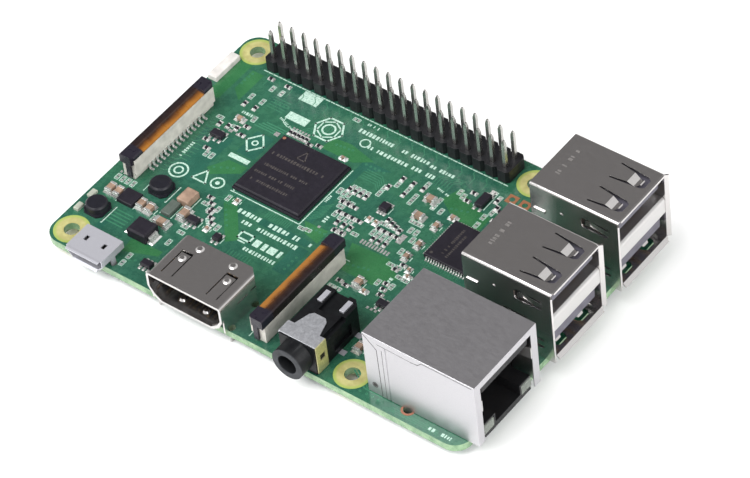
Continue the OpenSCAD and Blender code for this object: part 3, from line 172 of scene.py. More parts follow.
class Shader:
    """One principled material with helpers for the procedural detail that feeds it."""

    def __init__(self, name, colour, rough, metallic=0.0, specular=0.5):
        self.material = material(name)
        self.nodes = self.material.node_tree.nodes
        self.links = self.material.node_tree.links
        self.bsdf = self.nodes["Principled BSDF"]
        self.place = self.nodes.new("ShaderNodeTexCoord").outputs["Object"]
        self.bsdf.inputs["Base Color"].default_value = (*colour, 1)
        self.bsdf.inputs["Roughness"].default_value = rough
        self.bsdf.inputs["Metallic"].default_value = metallic
        self.bsdf.inputs["Specular IOR Level"].default_value = specular

    def link(self, a, b):
        self.links.new(a, b)

    def stretched(self, scale):
        """Object coordinates scaled by three numbers, for a grain with a direction."""
        node = self.nodes.new("ShaderNodeMapping")
        node.inputs["Scale"].default_value = scale
        self.link(self.place, node.inputs["Vector"])
        return node.outputs["Vector"]

    def noise(self, scale, detail=4.0, rough=0.5, vector=None):
        node = self.nodes.new("ShaderNodeTexNoise")
        node.inputs["Scale"].default_value = scale
        node.inputs["Detail"].default_value = detail
        node.inputs["Roughness"].default_value = rough
        self.link(vector or self.place, node.inputs["Vector"])
        return node.outputs["Fac"]

    def ramp(self, fac, stops):
        node = self.nodes.new("ShaderNodeValToRGB")
        while len(node.color_ramp.elements) < len(stops):
            node.color_ramp.elements.new(0.5)
        for element, (position, colour) in zip(node.color_ramp.elements, stops):
            element.position = position
            element.color = (*colour, 1)
        self.link(fac, node.inputs["Fac"])
        return node.outputs["Color"]

    def math(self, operation, a, b):
        node = self.nodes.new("ShaderNodeMath")
        node.operation = operation
        for socket, value in zip(node.inputs, (a, b)):
            if isinstance(value, (int, float)):
                socket.default_value = value
            else:
                self.link(value, socket)
        return node.outputs["Value"]

    def mix(self, fac, a, b):
        """Mixes two colours, each a socket or three numbers."""
        node = self.nodes.new("ShaderNodeMix")
        node.data_type = "RGBA"
        factor = next(s for s in node.inputs if s.name == "Factor" and s.type == "VALUE")
        colours = [s for s in node.inputs if s.type == "RGBA"]
        for socket, value in zip([factor, *colours], (fac, a, b)):
            if isinstance(value, (int, float)):
                socket.default_value = value
            elif isinstance(value, tuple):
                socket.default_value = (*value, 1)
            else:
                self.link(value, socket)
        return next(s for s in node.outputs if s.type == "RGBA")

    def axis(self, name):
        node = self.nodes.new("ShaderNodeSeparateXYZ")
        self.link(self.place, node.inputs["Vector"])
        return node.outputs[name]

    def off_centre(self, name, middle):
        """Distance from a middle value along one axis."""
        return self.math("ABSOLUTE", self.math("SUBTRACT", self.axis(name), middle), 0.0)

    def range(self, value, low, high, to_low=0.0, to_high=1.0):
        node = self.nodes.new("ShaderNodeMapRange")
        node.interpolation_type = "SMOOTHSTEP"
        limits = {"From Min": low, "From Max": high, "To Min": to_low, "To Max": to_high}
        for name, number in limits.items():
            node.inputs[name].default_value = number
        self.link(value, node.inputs["Value"])
        return node.outputs["Result"]

    def colour(self, socket):
        self.link(socket, self.bsdf.inputs["Base Color"])
        return self

    def tint(self, colour, fac, low=0.85, high=1.12):
        """Lets a pattern darken and lighten the plain colour."""
        dark = tuple(c * low for c in colour)
        light = tuple(min(1.0, c * high) for c in colour)
        return self.colour(self.ramp(fac, [(0.25, dark), (0.75, light)]))

    def rough(self, fac, low, high):
        self.link(self.range(fac, 0.3, 0.7, low, high), self.bsdf.inputs["Roughness"])
        return self

    def bump(self, fac, strength, distance):
        node = self.nodes.new("ShaderNodeBump")
        node.inputs["Strength"].default_value = strength
        node.inputs["Distance"].default_value = distance
        self.link(fac, node.inputs["Height"])
        previous = self.bsdf.inputs["Normal"].links
        if previous:
            self.link(previous[0].from_socket, node.inputs["Normal"])
        self.link(node.outputs["Normal"], self.bsdf.inputs["Normal"])
        return self

    def gloss(self, weight, rough):
        """A clear lacquer over the colour."""
        self.bsdf.inputs["Coat Weight"].default_value = weight
        self.bsdf.inputs["Coat Roughness"].default_value = rough
        return self


def plastic(name, colour, rough=0.45, grain=9000.0, depth=0.000006, specular=0.28, low=0.8, high=1.2):
    """Moulded plastic: fine spark grain, faint cloudiness, slightly uneven gloss."""
    s = Shader(name, colour, rough, specular=specular)
    s.tint(colour, s.noise(600.0, 5.0), low, high)
    s.rough(s.noise(1500.0), rough - 0.06, rough + 0.08)
    s.bump(s.noise(grain, 3.0), 0.35, depth)
    return s


def sheet_metal(name, colour, rough=0.28, along=(1, 1, 1), metallic=1.0):
    """Rolled and plated sheet: fine drawn lines and a slightly uneven satin."""
    s = Shader(name, colour, rough, metallic=metallic)
    lines = s.noise(5200.0, 4.0, vector=s.stretched(along))
    s.tint(colour, s.noise(5200.0, 4.0, 0.6), 0.94, 1.04)
    s.rough(lines, rough - 0.02, rough + 0.03)
    s.bump(lines, 0.06, 0.0004 * MM)
    return s


def mask_finish(s, fine):
    """What the lacquer over the whole board has in common: gloss with a fine orange peel."""
    s.rough(fine, 0.2, 0.34)
    s.bump(fine, 0.15, 0.000010)
    return s.gloss(0.15, 0.12)


def board_material():
    """Green solder mask over faint copper and glass cloth, with a paler cut edge."""
    s = Shader("board_mask", (0.02, 0.1, 0.06), 0.3)
    fine = s.noise(900.0, 6.0, 0.6)
    weave = s.nodes.new("ShaderNodeTexWave")
    weave.inputs["Scale"].default_value = 420.0
    weave.inputs["Distortion"].default_value = 1.5
    s.link(s.place, weave.inputs["Vector"])
    face = s.ramp(s.noise(70.0, 5.0, 0.55), [
        (0.36, (0.014, 0.086, 0.056)), (0.46, (0.018, 0.098, 0.062)),
        (0.55, (0.026, 0.124, 0.064)), (0.66, (0.020, 0.104, 0.062)),
    ])
    face = s.mix(0.4, face, s.ramp(fine, [(0.3, (0.008, 0.055, 0.038)), (0.7, (0.034, 0.150, 0.088))]))
    edge = s.ramp(s.noise(700.0, 5.0), [(0.3, (0.12, 0.24, 0.12)), (0.7, (0.28, 0.42, 0.24))])
    height = s.axis("Z")
    skin = 0.03 * MM
    inside = s.math("MULTIPLY", s.range(height, BOTTOM + skin / 2, BOTTOM + skin),
                    s.range(height, TOP - skin / 2, TOP - skin))
    s.colour(s.mix(inside, face, edge))
    s.bump(weave.outputs["Fac"], 0.06, 0.000008)
    return mask_finish(s, fine)


def pour_material(name, dark, light):
    """Mask over solid copper, a little yellower than over the bare laminate."""
    s = Shader(name, light, 0.28)
    fine = s.noise(900.0, 6.0, 0.6)
    s.colour(s.ramp(s.noise(260.0, 5.0), [(0.3, dark), (0.7, light)]))
    return mask_finish(s, fine)


def ring_pad_material():
    """Bare mounting ring: pale brassy metal with a greenish rim under the mask's edge."""
    s = Shader("bare_ring", (0.8, 0.7, 0.34), 0.42, metallic=0.35)
    low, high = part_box("mounting_pads")
    inset = 3.1 * MM
    middle = (low + high) / 2
    reach = (high - low) / 2 - Vector((inset, inset, 0))
    out_x = s.math("SUBTRACT", s.off_centre("X", middle.x), reach.x)
    out_y = s.math("SUBTRACT", s.off_centre("Y", middle.y), reach.y)
    squares = s.math("ADD", s.math("MULTIPLY", out_x, out_x), s.math("MULTIPLY", out_y, out_y))
    radius = s.math("SQRT", squares, 0.0)
    brass = s.ramp(s.noise(700.0, 5.0), [(0.3, (0.45, 0.41, 0.15)), (0.7, (0.65, 0.62, 0.27))])
    s.colour(s.mix(s.range(radius, 2.3 * MM, 2.95 * MM), brass, (0.42, 0.52, 0.13)))
    s.rough(s.noise(1500.0), 0.36, 0.52)
    s.bump(s.noise(2600.0, 4.0), 0.2, 0.000006)
    return s


def latch_material(name, node, sign, reach):
    """Translucent brown plastic: nearly black where thick, amber along the thin wedge."""
    s = Shader(name, (0.05, 0.025, 0.012), 0.3, specular=0.35)
    low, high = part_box(node)
    middle = (low + high) / 2
    across = s.math("MULTIPLY", s.math("SUBTRACT", s.axis("X"), middle.x), sign)
    cloud = s.math("MULTIPLY", s.math("SUBTRACT", s.noise(420.0, 5.0), 0.5), 0.0012)
    thin = s.ramp(s.range(s.math("ADD", across, cloud), -reach * MM, (2.5 - reach) * MM), [
        (0.0, (0.014, 0.008, 0.009)), (0.34, (0.022, 0.010, 0.007)), (0.56, (0.055, 0.020, 0.006)),
        (0.78, (0.155, 0.055, 0.008)), (1.0, (0.30, 0.12, 0.018)),
    ])
    inner = s.range(s.off_centre("Y", middle.y), 8.2 * MM, 7.7 * MM)
    s.colour(s.mix(inner, (0.014, 0.012, 0.020), thin))
    s.rough(s.noise(1200.0), 0.25, 0.42)
    return s.bump(s.noise(5000.0, 3.0), 0.3, 0.000006)


def jack_clip_material():
    """Satin nickel; the side facing the network socket is painted lighter and yellower, a painted
    highlight.
    """
    s = Shader("jack_clip_metal", (0.62, 0.62, 0.64), 0.42, metallic=0.75)
    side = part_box("audio_jack_clip")[1].x
    fine = s.noise(3200.0, 4.0)
    nickel = s.ramp(fine, [(0.3, (0.42, 0.43, 0.46)), (0.7, (0.56, 0.57, 0.60))])
    # painted highlight: lighter, yellower nickel on the side that faces the network socket
    lit_side_colour = s.ramp(fine, [(0.3, (0.52, 0.49, 0.24)), (0.7, (0.70, 0.67, 0.36))])
    s.colour(s.mix(s.range(s.axis("X"), side - 0.25 * MM, side - 0.1 * MM), nickel, lit_side_colour))
    s.rough(s.noise(1800.0), 0.34, 0.48)
    return s.bump(fine, 0.15, 0.000003)


def jack_body_material():
    """Black nylon; the front face at the mouth of the barrel and a thin band behind it are painted greyer,
    a painted highlight.
    """
    s = Shader("jack_plastic", (0.007, 0.008, 0.009), 0.42, specular=0.22)
    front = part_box("audio_jack_body")[0].y
    cloud = s.noise(700.0, 5.0)
    black = s.ramp(cloud, [(0.3, (0.003, 0.003, 0.004)), (0.7, (0.006, 0.007, 0.008))])
    # painted highlight: greyer black on the front face at the mouth of the barrel
    rim = s.ramp(cloud, [(0.3, (0.014, 0.016, 0.019)), (0.7, (0.034, 0.037, 0.043))])
    s.colour(s.mix(s.range(s.axis("Y"), front + 0.25 * MM, front + 0.02 * MM), black, rim))
    s.rough(s.noise(1500.0), 0.36, 0.5)
    return s.bump(s.noise(9000.0, 3.0), 0.35, 0.000006)


def glassy(name, colour):
    """Clear moulding that lets part of the light through."""
    s = Shader(name, colour, 0.15)
    s.tint(colour, s.noise(500.0, 4.0), 0.8, 1.15)
    s.rough(s.noise(900.0), 0.1, 0.27)
    s.bump(s.noise(700.0, 3.0), 0.2, 0.00002)
    s.bsdf.inputs["Transmission Weight"].default_value = 0.45
    s.bsdf.inputs["IOR"].default_value = 1.5
    return s


def solder_material():
    """Dull tin with a grainy, slightly rippled skin."""
    s = Shader("solder", (0.72, 0.72, 0.70), 0.3, metallic=0.8)
    s.tint((0.74, 0.74, 0.72), s.noise(2500.0, 5.0), 0.85, 1.1)
    s.rough(s.noise(3000.0), 0.22, 0.45)
    s.bump(s.noise(2600.0, 4.0), 0.35, 0.000012)
    return s


def ink_material(name, dark, light):
    """Printed ink that lets some of the mask through."""
    s = Shader(name, light, 0.6, specular=0.2)
    s.colour(s.ramp(s.noise(3500.0, 5.0), [(0.3, dark), (0.6, light)]))
    s.rough(s.noise(2000.0), 0.5, 0.7)
    return s.bump(s.noise(6000.0, 3.0), 0.3, 0.000004)


SHELL = sheet_metal("shell_metal", (0.64, 0.62, 0.61), 0.24, along=(0.2, 1, 1))
LAN_SHELL = sheet_metal("network_shell_metal", (0.52, 0.51, 0.53), 0.38, along=(0.2, 1, 1))
BRIGHT = sheet_metal("bright_metal", (0.62, 0.61, 0.60), 0.36, along=(1, 0.2, 1))
SATIN = sheet_metal("satin_metal", (0.47, 0.47, 0.51), 0.5, metallic=0.55)
TIN = solder_material()
PIN = sheet_metal("pin_metal", (0.50, 0.49, 0.47), 0.26, along=(1, 1, 0.1))
GOLD = sheet_metal("contact_gold", (0.78, 0.52, 0.26), 0.28, along=(0.1, 1, 1))
RING = ring_pad_material()
COPPER = sheet_metal("copper_pad", (0.40, 0.17, 0.085), 0.5, metallic=0.5)
BLACK = plastic("black_plastic", (0.008, 0.008, 0.009), 0.45)
HEADER = plastic("header_plastic", (0.008, 0.008, 0.010), 0.42, specular=0.3)
TONGUE = plastic("tongue_plastic", (0.10, 0.095, 0.12), 0.4)
IVORY = plastic("ivory_plastic", (0.56, 0.54, 0.49), 0.5)
CHIP = plastic("chip_package", (0.012, 0.010, 0.016), 0.5, grain=16000.0, depth=0.000010)
INDUCTOR = plastic("inductor_ferrite", (0.010, 0.010, 0.015), 0.4, depth=0.000010)
INNER = plastic("potting", (0.03, 0.03, 0.03), 0.6)
CERAMIC = plastic("tan_ceramic", (0.30, 0.205, 0.15), 0.45, grain=12000.0, low=0.6, high=1.3)
WHITE = plastic("white_ceramic", (0.60, 0.575, 0.55), 0.5, grain=12000.0)
FUSE = plastic("fuse_coating", (0.085, 0.105, 0.09), 0.4)
PIPE = glassy("light_pipe", (0.26, 0.29, 0.25))
LENS = glassy("clear_lens", (0.70, 0.74, 0.62))
MASK = board_material()
POUR = pour_material("pour_under_mask", (0.020, 0.120, 0.042), (0.034, 0.158, 0.056))
DARK_POUR = pour_material("plane_under_mask", (0.012, 0.080, 0.054), (0.020, 0.112, 0.074))
TRACE = pour_material("trace_under_mask", (0.030, 0.150, 0.082), (0.046, 0.190, 0.108))
INK = ink_material("white_ink", (0.20, 0.36, 0.28), (0.50, 0.66, 0.57))
FAINT = ink_material("faint_mark", (0.030, 0.026, 0.028), (0.075, 0.066, 0.062))
ETCH = ink_material("etched_mark", (0.11, 0.105, 0.10), (0.17, 0.16, 0.155))
SEAM = ink_material("seam_shadow", (0.020, 0.020, 0.020), (0.06, 0.058, 0.055))
RUST = ink_material("heat_stain", (0.20, 0.085, 0.055), (0.33, 0.14, 0.09))

LOOKS = {
    "circuit_board": MASK, "mounting_pads": RING, "header_housing": HEADER, "header_pins": PIN,
    "ethernet_shell": LAN_SHELL, "ethernet_ground_springs": BRIGHT, "ethernet_insulator": BLACK,
    "ethernet_contacts": GOLD, "ethernet_left_light_pipe": PIPE, "ethernet_right_light_pipe": PIPE,
    "ethernet_magnetics": INNER, "hdmi_shell": SHELL, "hdmi_insulator": BLACK, "hdmi_contacts": GOLD,
    "micro_usb_shell": SATIN, "micro_usb_insulator": BLACK, "micro_usb_contacts": GOLD,
    "audio_jack_body": jack_body_material(), "audio_jack_clip": jack_clip_material(),
    "audio_jack_contacts": SATIN,
    "display_connector_housing": IVORY, "display_connector_contacts": TIN,
    "display_connector_latch": latch_material("display_latch_plastic", "display_connector_latch", 1, 1.05),
    "camera_connector_housing": IVORY, "camera_connector_contacts": TIN,
    "camera_connector_latch": latch_material("camera_latch_plastic", "camera_connector_latch", -1, 1.45),
    "processor": CHIP, "usb_network_controller": CHIP, "memory_chip": CHIP, "wireless_chip": CHIP,
    "chip_antenna": WHITE, "power_inductors": INDUCTOR, "power_diode": CHIP, "power_diode_leads": TIN,
    "power_regulator": CHIP, "power_fuse": FUSE, "bulk_capacitor": CERAMIC,
    "status_lights": LENS, "ceramic_capacitors": CERAMIC, "capacitor_terminals": TIN,
    "chip_resistors": CHIP, "resistor_terminals": TIN, "small_transistors": CHIP,
    "transistor_leads": TIN, "empty_header_pads": COPPER, "card_slot_base": BLACK,
    "card_slot_cover": SHELL, "card_slot_contacts": GOLD,
}
for pair in (1, 2):
    LOOKS[f"usb_pair_{pair}_shell"] = SHELL
    LOOKS[f"usb_pair_{pair}_divider"] = BRIGHT
    LOOKS[f"usb_pair_{pair}_insulator"] = TONGUE
    LOOKS[f"usb_pair_{pair}_contacts"] = GOLD

# How far the edges of each CAD node are broken, in millimetres; thin sheet takes the least.
SOFT_EDGES = {
    "circuit_board": 0.0, "mounting_pads": 0.0, "empty_header_pads": 0.0, "header_pins": 0.03,
    "ethernet_shell": 0.09, "usb_pair_1_shell": 0.1, "usb_pair_2_shell": 0.1, "hdmi_shell": 0.1,
    "micro_usb_shell": 0.07, "audio_jack_body": 0.12, "processor": 0.05,
    "display_connector_housing": 0.06, "camera_connector_housing": 0.06,
    "display_connector_latch": 0.1, "camera_connector_latch": 0.1, "chip_antenna": 0.08,
    "power_inductors": 0.12, "bulk_capacitor": 0.12,
}
SOFT_EDGE = 0.05


def dress(node):
    """Gives a CAD node its material and its broken edges."""
    obj = NODES[node]
    obj.data.materials.clear()
    obj.data.materials.append(LOOKS[node].material)
    width = SOFT_EDGES.get(node, SOFT_EDGE) * MM
    weld = obj.modifiers.new("weld", "WELD")
    weld.merge_threshold = 1e-6
    if width:
        bevel = obj.modifiers.new("bevel", "BEVEL")
        bevel.width = width
        bevel.segments = 2
        bevel.limit_method = "ANGLE"
        bevel.angle_limit = math.radians(35)
        bevel.use_clamp_overlap = True


# ---------------------------------------------------------------- shapes for the small detail

class Shapes:
    """Collects thin shapes into one mesh. A face is a function of two millimetre places and a height."""

    def __init__(self, face=at):
        self.face = face
        self.bm = bmesh.new()

    def between(self, lower, upper):
        """Closes the space between two matching loops of points."""
        low = [self.bm.verts.new(self.face(*p)) for p in lower]
        high = [self.bm.verts.new(self.face(*p)) for p in upper]
        self.bm.faces.new(high)
        self.bm.faces.new(low[::-1])
        self.skin(low, high)

    def prism(self, points, low, high):
        self.between([(u, v, low) for u, v in points], [(u, v, high) for u, v in points])

    def bar(self, u, v, length, width, high, turn=0.0, low=0.0):
        """A flat bar round its centre, turned by degrees."""
        c, s = math.cos(math.radians(turn)), math.sin(math.radians(turn))
        corners = [(-1, -1), (1, -1), (1, 1), (-1, 1)]
        self.prism([(u + (a * length * c - b * width * s) / 2, v + (a * length * s + b * width * c) / 2)
                    for a, b in corners], low, high)

    def stroke(self, points, width, high, low=0.0):
        """A line of constant width through the points, with mitred corners."""
        path = [Vector(p) for p in points]
        sides = []
        for i, p in enumerate(path):
            into = (p - path[i - 1]).normalized() if i else None
            away = (path[i + 1] - p).normalized() if i + 1 < len(path) else into
            into = into or away
            normal = Vector((-(into + away).y, (into + away).x)).normalized()
            stretch = width / 2 / max(0.4, normal.dot(Vector((-into.y, into.x))))
            sides.append((p + normal * stretch, p - normal * stretch))
        for (a, b), (c, d) in zip(sides, sides[1:]):
            self.prism([tuple(a), tuple(b), tuple(d), tuple(c)], low, high)

    def outline(self, points, width, high):
        """A closed line through the points, corner by corner."""
        loop = [*points, points[0]]
        for a, b in zip(loop, loop[1:]):
            middle = ((a[0] + b[0]) / 2, (a[1] + b[1]) / 2)
            length = math.dist(a, b) + width
            turn = math.degrees(math.atan2(b[1] - a[1], b[0] - a[0]))
            self.bar(*middle, length, width, high, turn)

    def circles(self, u, v, profile, steps):
        """Loops of points round one centre, one for each radius and height."""
        turns = [2 * math.pi * i / steps for i in range(steps)]
        return [[self.bm.verts.new(self.face(u + radius * math.cos(t), v + radius * math.sin(t), height))
                 for t in turns] for radius, height in profile]

    def skin(self, a, b):
        """Faces between two matching loops of points."""
        for i, vertex in enumerate(a):
            j = (i + 1) % len(a)
            self.bm.faces.new((vertex, a[j], b[j], b[i]))

    def ring(self, u, v, inner, outer, high, low=0.0, steps=32):
        profile = ((inner, low), (outer, low), (outer, high), (inner, high))
        loops = self.circles(u, v, profile, steps)
        for a, b in zip(loops, loops[1:] + loops[:1]):
            self.skin(a, b)

    def turned(self, u, v, profile, steps=14):
        """A solid of revolution; the profile lists radius and height from its foot to its top."""
        loops = self.circles(u, v, profile, steps)
        self.bm.faces.new(loops[0][::-1])
        self.bm.faces.new(loops[-1])
        for a, b in zip(loops, loops[1:]):
            self.skin(a, b)

    def disc(self, u, v, radius, high):
        self.turned(u, v, ((radius, 0.0), (radius, high)), 20)

    def dashes(self, u0, v0, u1, v1, tall, high, rng):
        """A row of uneven upright marks that stands where small print would be."""
        start, end = Vector((u0, v0)), Vector((u1, v1))
        run = (end - start).length
        turn = math.degrees(math.atan2(v1 - v0, u1 - u0))
        along = (end - start).normalized()
        placed = 0.0
        while placed < run:
            wide = tall * rng.uniform(0.28, 0.62)
            if rng.random() > 0.13:
                middle = start + along * (placed + wide / 2)
                self.bar(middle.x, middle.y, wide, tall * rng.uniform(0.72, 1.0), high, turn)
            placed += wide + tall * rng.uniform(0.2, 0.34)

    def piece(self, name, look, slot=None, body=BOARD):
        """Closes the collection and makes it one piece that rides on a body."""
        bmesh.ops.recalc_face_normals(self.bm, faces=self.bm.faces)
        mesh = bpy.data.meshes.new(name)
        self.bm.to_mesh(mesh)
        self.bm.free()
        mesh.materials.append(look.material)
        obj = bpy.data.objects.new(name, mesh)
        bpy.context.scene.collection.objects.link(obj)
        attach(obj, body)


def underside(x, y, z=0.0):
    """A place under the board, z growing downwards."""
    return at(x, y, -THICKNESS - z)


def on_level(level):
    """The top of a part whose upper face is this far above the board."""
    return lambda x, y, z=0.0: at(x, y, level + z)


# Heights above the board's top, in millimetres; SUNK is how far copper under the mask reaches into it.
SUNK = -0.01
POUR_H = 0.006
TRACE_H = 0.010
PAD_H = 0.022
INK_H = 0.016


# ---------------------------------------------------------------- copper seen through the mask

def copper_pours():
    """Filled areas of copper under the mask: yellower planes and one cooler, darker block."""
    shapes = Shapes()
    for outline in (
        [(2.2, 40.2), (4.8, 40.2), (4.8, 49.6), (2.2, 49.6)],
        [(20.9, 21.6), (23.4, 18.6), (26.6, 14.9), (28.3, 16.4), (23.2, 22.4), (20.9, 23.9)],
        [(26.5, 40.3), (33.2, 40.3), (36.2, 42.3), (30.6, 43.6), (27.4, 43.3)],
        [(44.2, 25.9), (51.6, 26.3), (55.4, 23.4), (52.6, 20.2), (46.4, 20.2), (45.2, 23.4)],
        [(13.4, 26.6), (14.6, 25.4), (19.2, 28.4), (19.2, 30.0), (15.4, 29.8)],
        [(50.6, 41.6), (55, 38.9), (60, 38.9), (60, 42.2), (56, 43), (52, 45.4)],
        [(5.6, 43.6), (8, 41.6), (8, 48.6), (5.6, 48.6)],
        [(34.8, 25.6), (39.4, 25.8), (39.6, 22.6), (36.4, 23.4)],
        [(13.6, 4.2), (19.5, 6.4), (19.5, 7.6), (13.2, 7.2)],
    ):
        shapes.prism(outline, SUNK, POUR_H)
    shapes.piece("copper_pours", POUR, "board")
    planes = Shapes()
    for outline in (
        [(34.6, 25.8), (36, 25.8), (36, 39.8), (40.2, 42), (34.6, 42)],
        [(8, 22.6), (13.2, 22.6), (13.2, 33.8), (7.4, 33.8)],
        [(36.8, 14.2), (39.4, 14.2), (39.4, 20.6), (36.8, 20.6)],
        [(6.2, 2.2), (7.6, 2.2), (7.6, 8), (6.2, 8)],
        [(28.6, 20.9), (38.6, 20.9), (38.6, 22.4), (28.6, 22.4)],
        [(15.2, 31.9), (19, 31.9), (19, 37.6), (15.2, 37.6)],
    ):
        planes.prism(outline, SUNK, POUR_H / 2)
    planes.piece("copper_planes", DARK_POUR, "board")


def fan(shapes, start, step, count, bends, width):
    """Parallel traces: each leaves its own start and follows the same bends, then all end together."""
    for i in range(count):
        x, y = start[0] + step[0] * i, start[1] + step[1] * i
        points = [(x, y)]
        for dx, dy in bends:
            x, y = x + dx, y + dy
            points.append((x, y))
        shapes.stroke(points, width, TRACE_H, SUNK)


def traces():
    """Thin tracks under the mask, in bundles with 45 degree bends."""
    shapes = Shapes()
    thin, wide = 0.13, 0.26
    fan(shapes, (33.9, 26.2), (0, 0.42), 9, [(1.1, 0), (1.5, 1.5)], thin)
    fan(shapes, (20.4, 24.6), (0.5, 0), 7, [(0, -1.3), (-1.6, -1.6)], thin)
    fan(shapes, (28.6, 24.3), (0.42, 0), 12, [(0, -1.6)], thin)
    fan(shapes, (6.9, 22.2), (0, 1.0), 14, [(0.9, 0), (0.7, 0.7), (1.2, 0)], thin)
    fan(shapes, (21.6, 40.9), (0.55, 0), 8, [(0, 1.2), (1.4, 1.4), (0, 1.7)], thin)
    fan(shapes, (8.4, 49.9), (2.54, 0), 19, [(0, -0.9), (0.8, -0.8), (0, -1.5)], thin)
    fan(shapes, (47.2, 43.2), (0.6, 0), 6, [(0, 2.1), (1.5, 1.5)], thin)
    fan(shapes, (56.2, 29.0), (0.5, 0), 15, [(0, -0.8)], thin)
    fan(shapes, (55.4, 31), (0, 0.5), 12, [(-0.8, 0)], thin)
    fan(shapes, (36.2, 38.4), (0, 0.5), 5, [(3.2, 0), (1, -1)], thin)
    fan(shapes, (13.8, 38.6), (0.5, 0.5), 4, [(4.6, 0)], wide)
    fan(shapes, (12.8, 43.2), (0, 0.6), 5, [(3.4, 0)], thin)
    fan(shapes, (61.2, 4.4), (0.5, 0.3), 3, [(3.6, -2.2), (3.6, 0)], wide)
    fan(shapes, (28.4, 13.0), (0.6, 0), 8, [(0, 1.2)], thin)
    fan(shapes, (6.8, 8.2), (0, 0.7), 5, [(3.6, 0)], wide)
    fan(shapes, (71, 0.7), (0, 0.35), 3, [(9, 0)], thin)
    shapes.piece("traces", TRACE, "board")


def via_holes():
    """Low rings under the mask, in short rows between the parts, each a little out of line."""
    rng = random.Random(11)
    rings = Shapes()
    inner, outer, slack = 0.1, 0.23, 0.06
    for x, y, count, dx, dy in (
        (35.4, 41.2, 5, 0.9, 0), (8.2, 29.8, 6, 0, -0.75), (13.6, 44.6, 4, 0.9, 0), (36.8, 24.9, 5, 0.8, 0),
        (45.6, 21.6, 6, 0.9, 0.2), (28.4, 42.2, 5, 0.8, 0.1), (53.2, 40.6, 4, 0.9, 0.3),
        (22.2, 20.6, 4, 0.8, -0.9), (14.4, 27.2, 4, 1.0, 0.5), (58.4, 40.4, 3, 0, 0.8),
        (5.8, 45.2, 4, 0.1, 0.9), (64.6, 1.4, 4, 1.2, 0), (14.2, 2.2, 4, 0.9, 0.5), (9.4, 5.8, 4, 0.8, 0.1),
        (50.4, 46.2, 6, 0.9, -0.2), (38.6, 18.4, 4, 0, -1.0),
    ):
        for i in range(count):
            rings.ring(x + dx * i + rng.uniform(-slack, slack), y + dy * i + rng.uniform(-slack, slack),
                       inner, outer, TRACE_H + 0.004, SUNK, 12)
    rings.piece("via_rings", TRACE, "board")


# ---------------------------------------------------------------- bare pads and solder

# Rows of two-ended places: first place, how many, step to the next, whether they stand across the row.
EMPTY_PLACES = [
    (36.9, 35.8, 4, 0.95, 0, True), (35.4, 34.1, 3, 0.95, 0, True), (36.8, 32.8, 3, 0.95, 0, False),
    (37.7, 31.3, 1, 1, 0, False), (37.9, 29.6, 4, 1.15, 0, True), (45.9, 32.0, 3, 1.2, 0, False),
    (45.7, 29.5, 4, 1.05, 0, True), (49.8, 34.9, 2, 1.3, 0, False), (50.6, 33.2, 2, 1.1, 0, True),
    (52.1, 31.6, 1, 1, 0, True), (52.1, 28.6, 1, 1, 0, True), (52.2, 39.2, 1, 1, 0, True),
    (41.2, 37.1, 2, 0, 1.5, True), (42.6, 40.3, 1, 1, 0, True), (44.8, 40.4, 1, 1, 0, True),
    (46.8, 42.9, 1, 1, 0, True), (46.7, 39.6, 2, 0, -1.3, True), (50.6, 41.0, 2, 0, -1.6, True),
    (52.3, 44.4, 2, 1.0, -0.5, True), (58.8, 41.9, 2, 0.1, -2.0, True), (52.4, 25.4, 2, 1.5, 0.1, False),
    (55.3, 23.9, 2, 1.2, -0.1, False), (53.0, 21.2, 1, 1, 0, True), (55.5, 21.6, 1, 1, 0, True),
    (47.2, 16.6, 2, 1.2, 0, False), (11.2, 46.9, 2, 2.0, -0.1, True), (9.3, 43.6, 1, 1, 0, True),
    (11.7, 43.5, 1, 1, 0, True), (13.1, 39.5, 1, 1, 0, True), (7.9, 36.9, 2, 3.6, -0.5, False),
    (11.3, 29.0, 2, 1.1, 0, True), (20.9, 22.9, 1, 1, 0, True), (18.5, 19.9, 2, 1.6, -0.9, False),
    (21.1, 19.9, 1, 1, 0, True), (18.9, 14.0, 2, 0.3, -1.4, False), (15.4, 4.0, 2, 0, -1.8, True),
    (18.9, 9.8, 1, 1, 0, True), (23.6, 16.6, 1, 1, 0, True), (35.3, 24.0, 2, 1.1, 0.2, False),
    (13.4, 12.6, 1, 1, 0, True), (2.2, 16.9, 4, 1.1, 0, True), (27.8, 48.6, 1, 1, 0, False),
    (57.4, 46.9, 2, 1.2, -0.4, True), (59.4, 43.4, 1, 1, 0, True), (43.4, 27.6, 1, 1, 0, False),
    (65.6, 22.1, 1, 1, 0, False), (40.6, 24.2, 1, 1, 0, True),
]


def empty_places():
    """Pads with no part on them, each pair inside its printed outline."""
    pads, frames = Shapes(), Shapes()
    apart, pad, room = 0.62, (0.42, 0.5), 0.14
    frame_w, half = 0.12, 0.37
    reach = apart / 2 + pad[0] / 2 + room
    for x, y, count, dx, dy, across in EMPTY_PLACES:
        for i in range(count):
            px, py = x + dx * i, y + dy * i
            turn = 90 if across else 0
            ux, uy = (0, 1) if across else (1, 0)
            for side in (-1, 1):
                pads.bar(px + side * ux * apart / 2, py + side * uy * apart / 2, *pad, PAD_H, turn)
                frames.bar(px + side * ux * reach, py + side * uy * reach, frame_w, 2 * half, INK_H, turn)
                frames.bar(px + side * uy * half, py + side * ux * half, 2 * reach, frame_w, INK_H, turn)
    pads.piece("empty_pads", TIN, "tinned_lead")
    frames.piece("empty_place_outlines", INK)


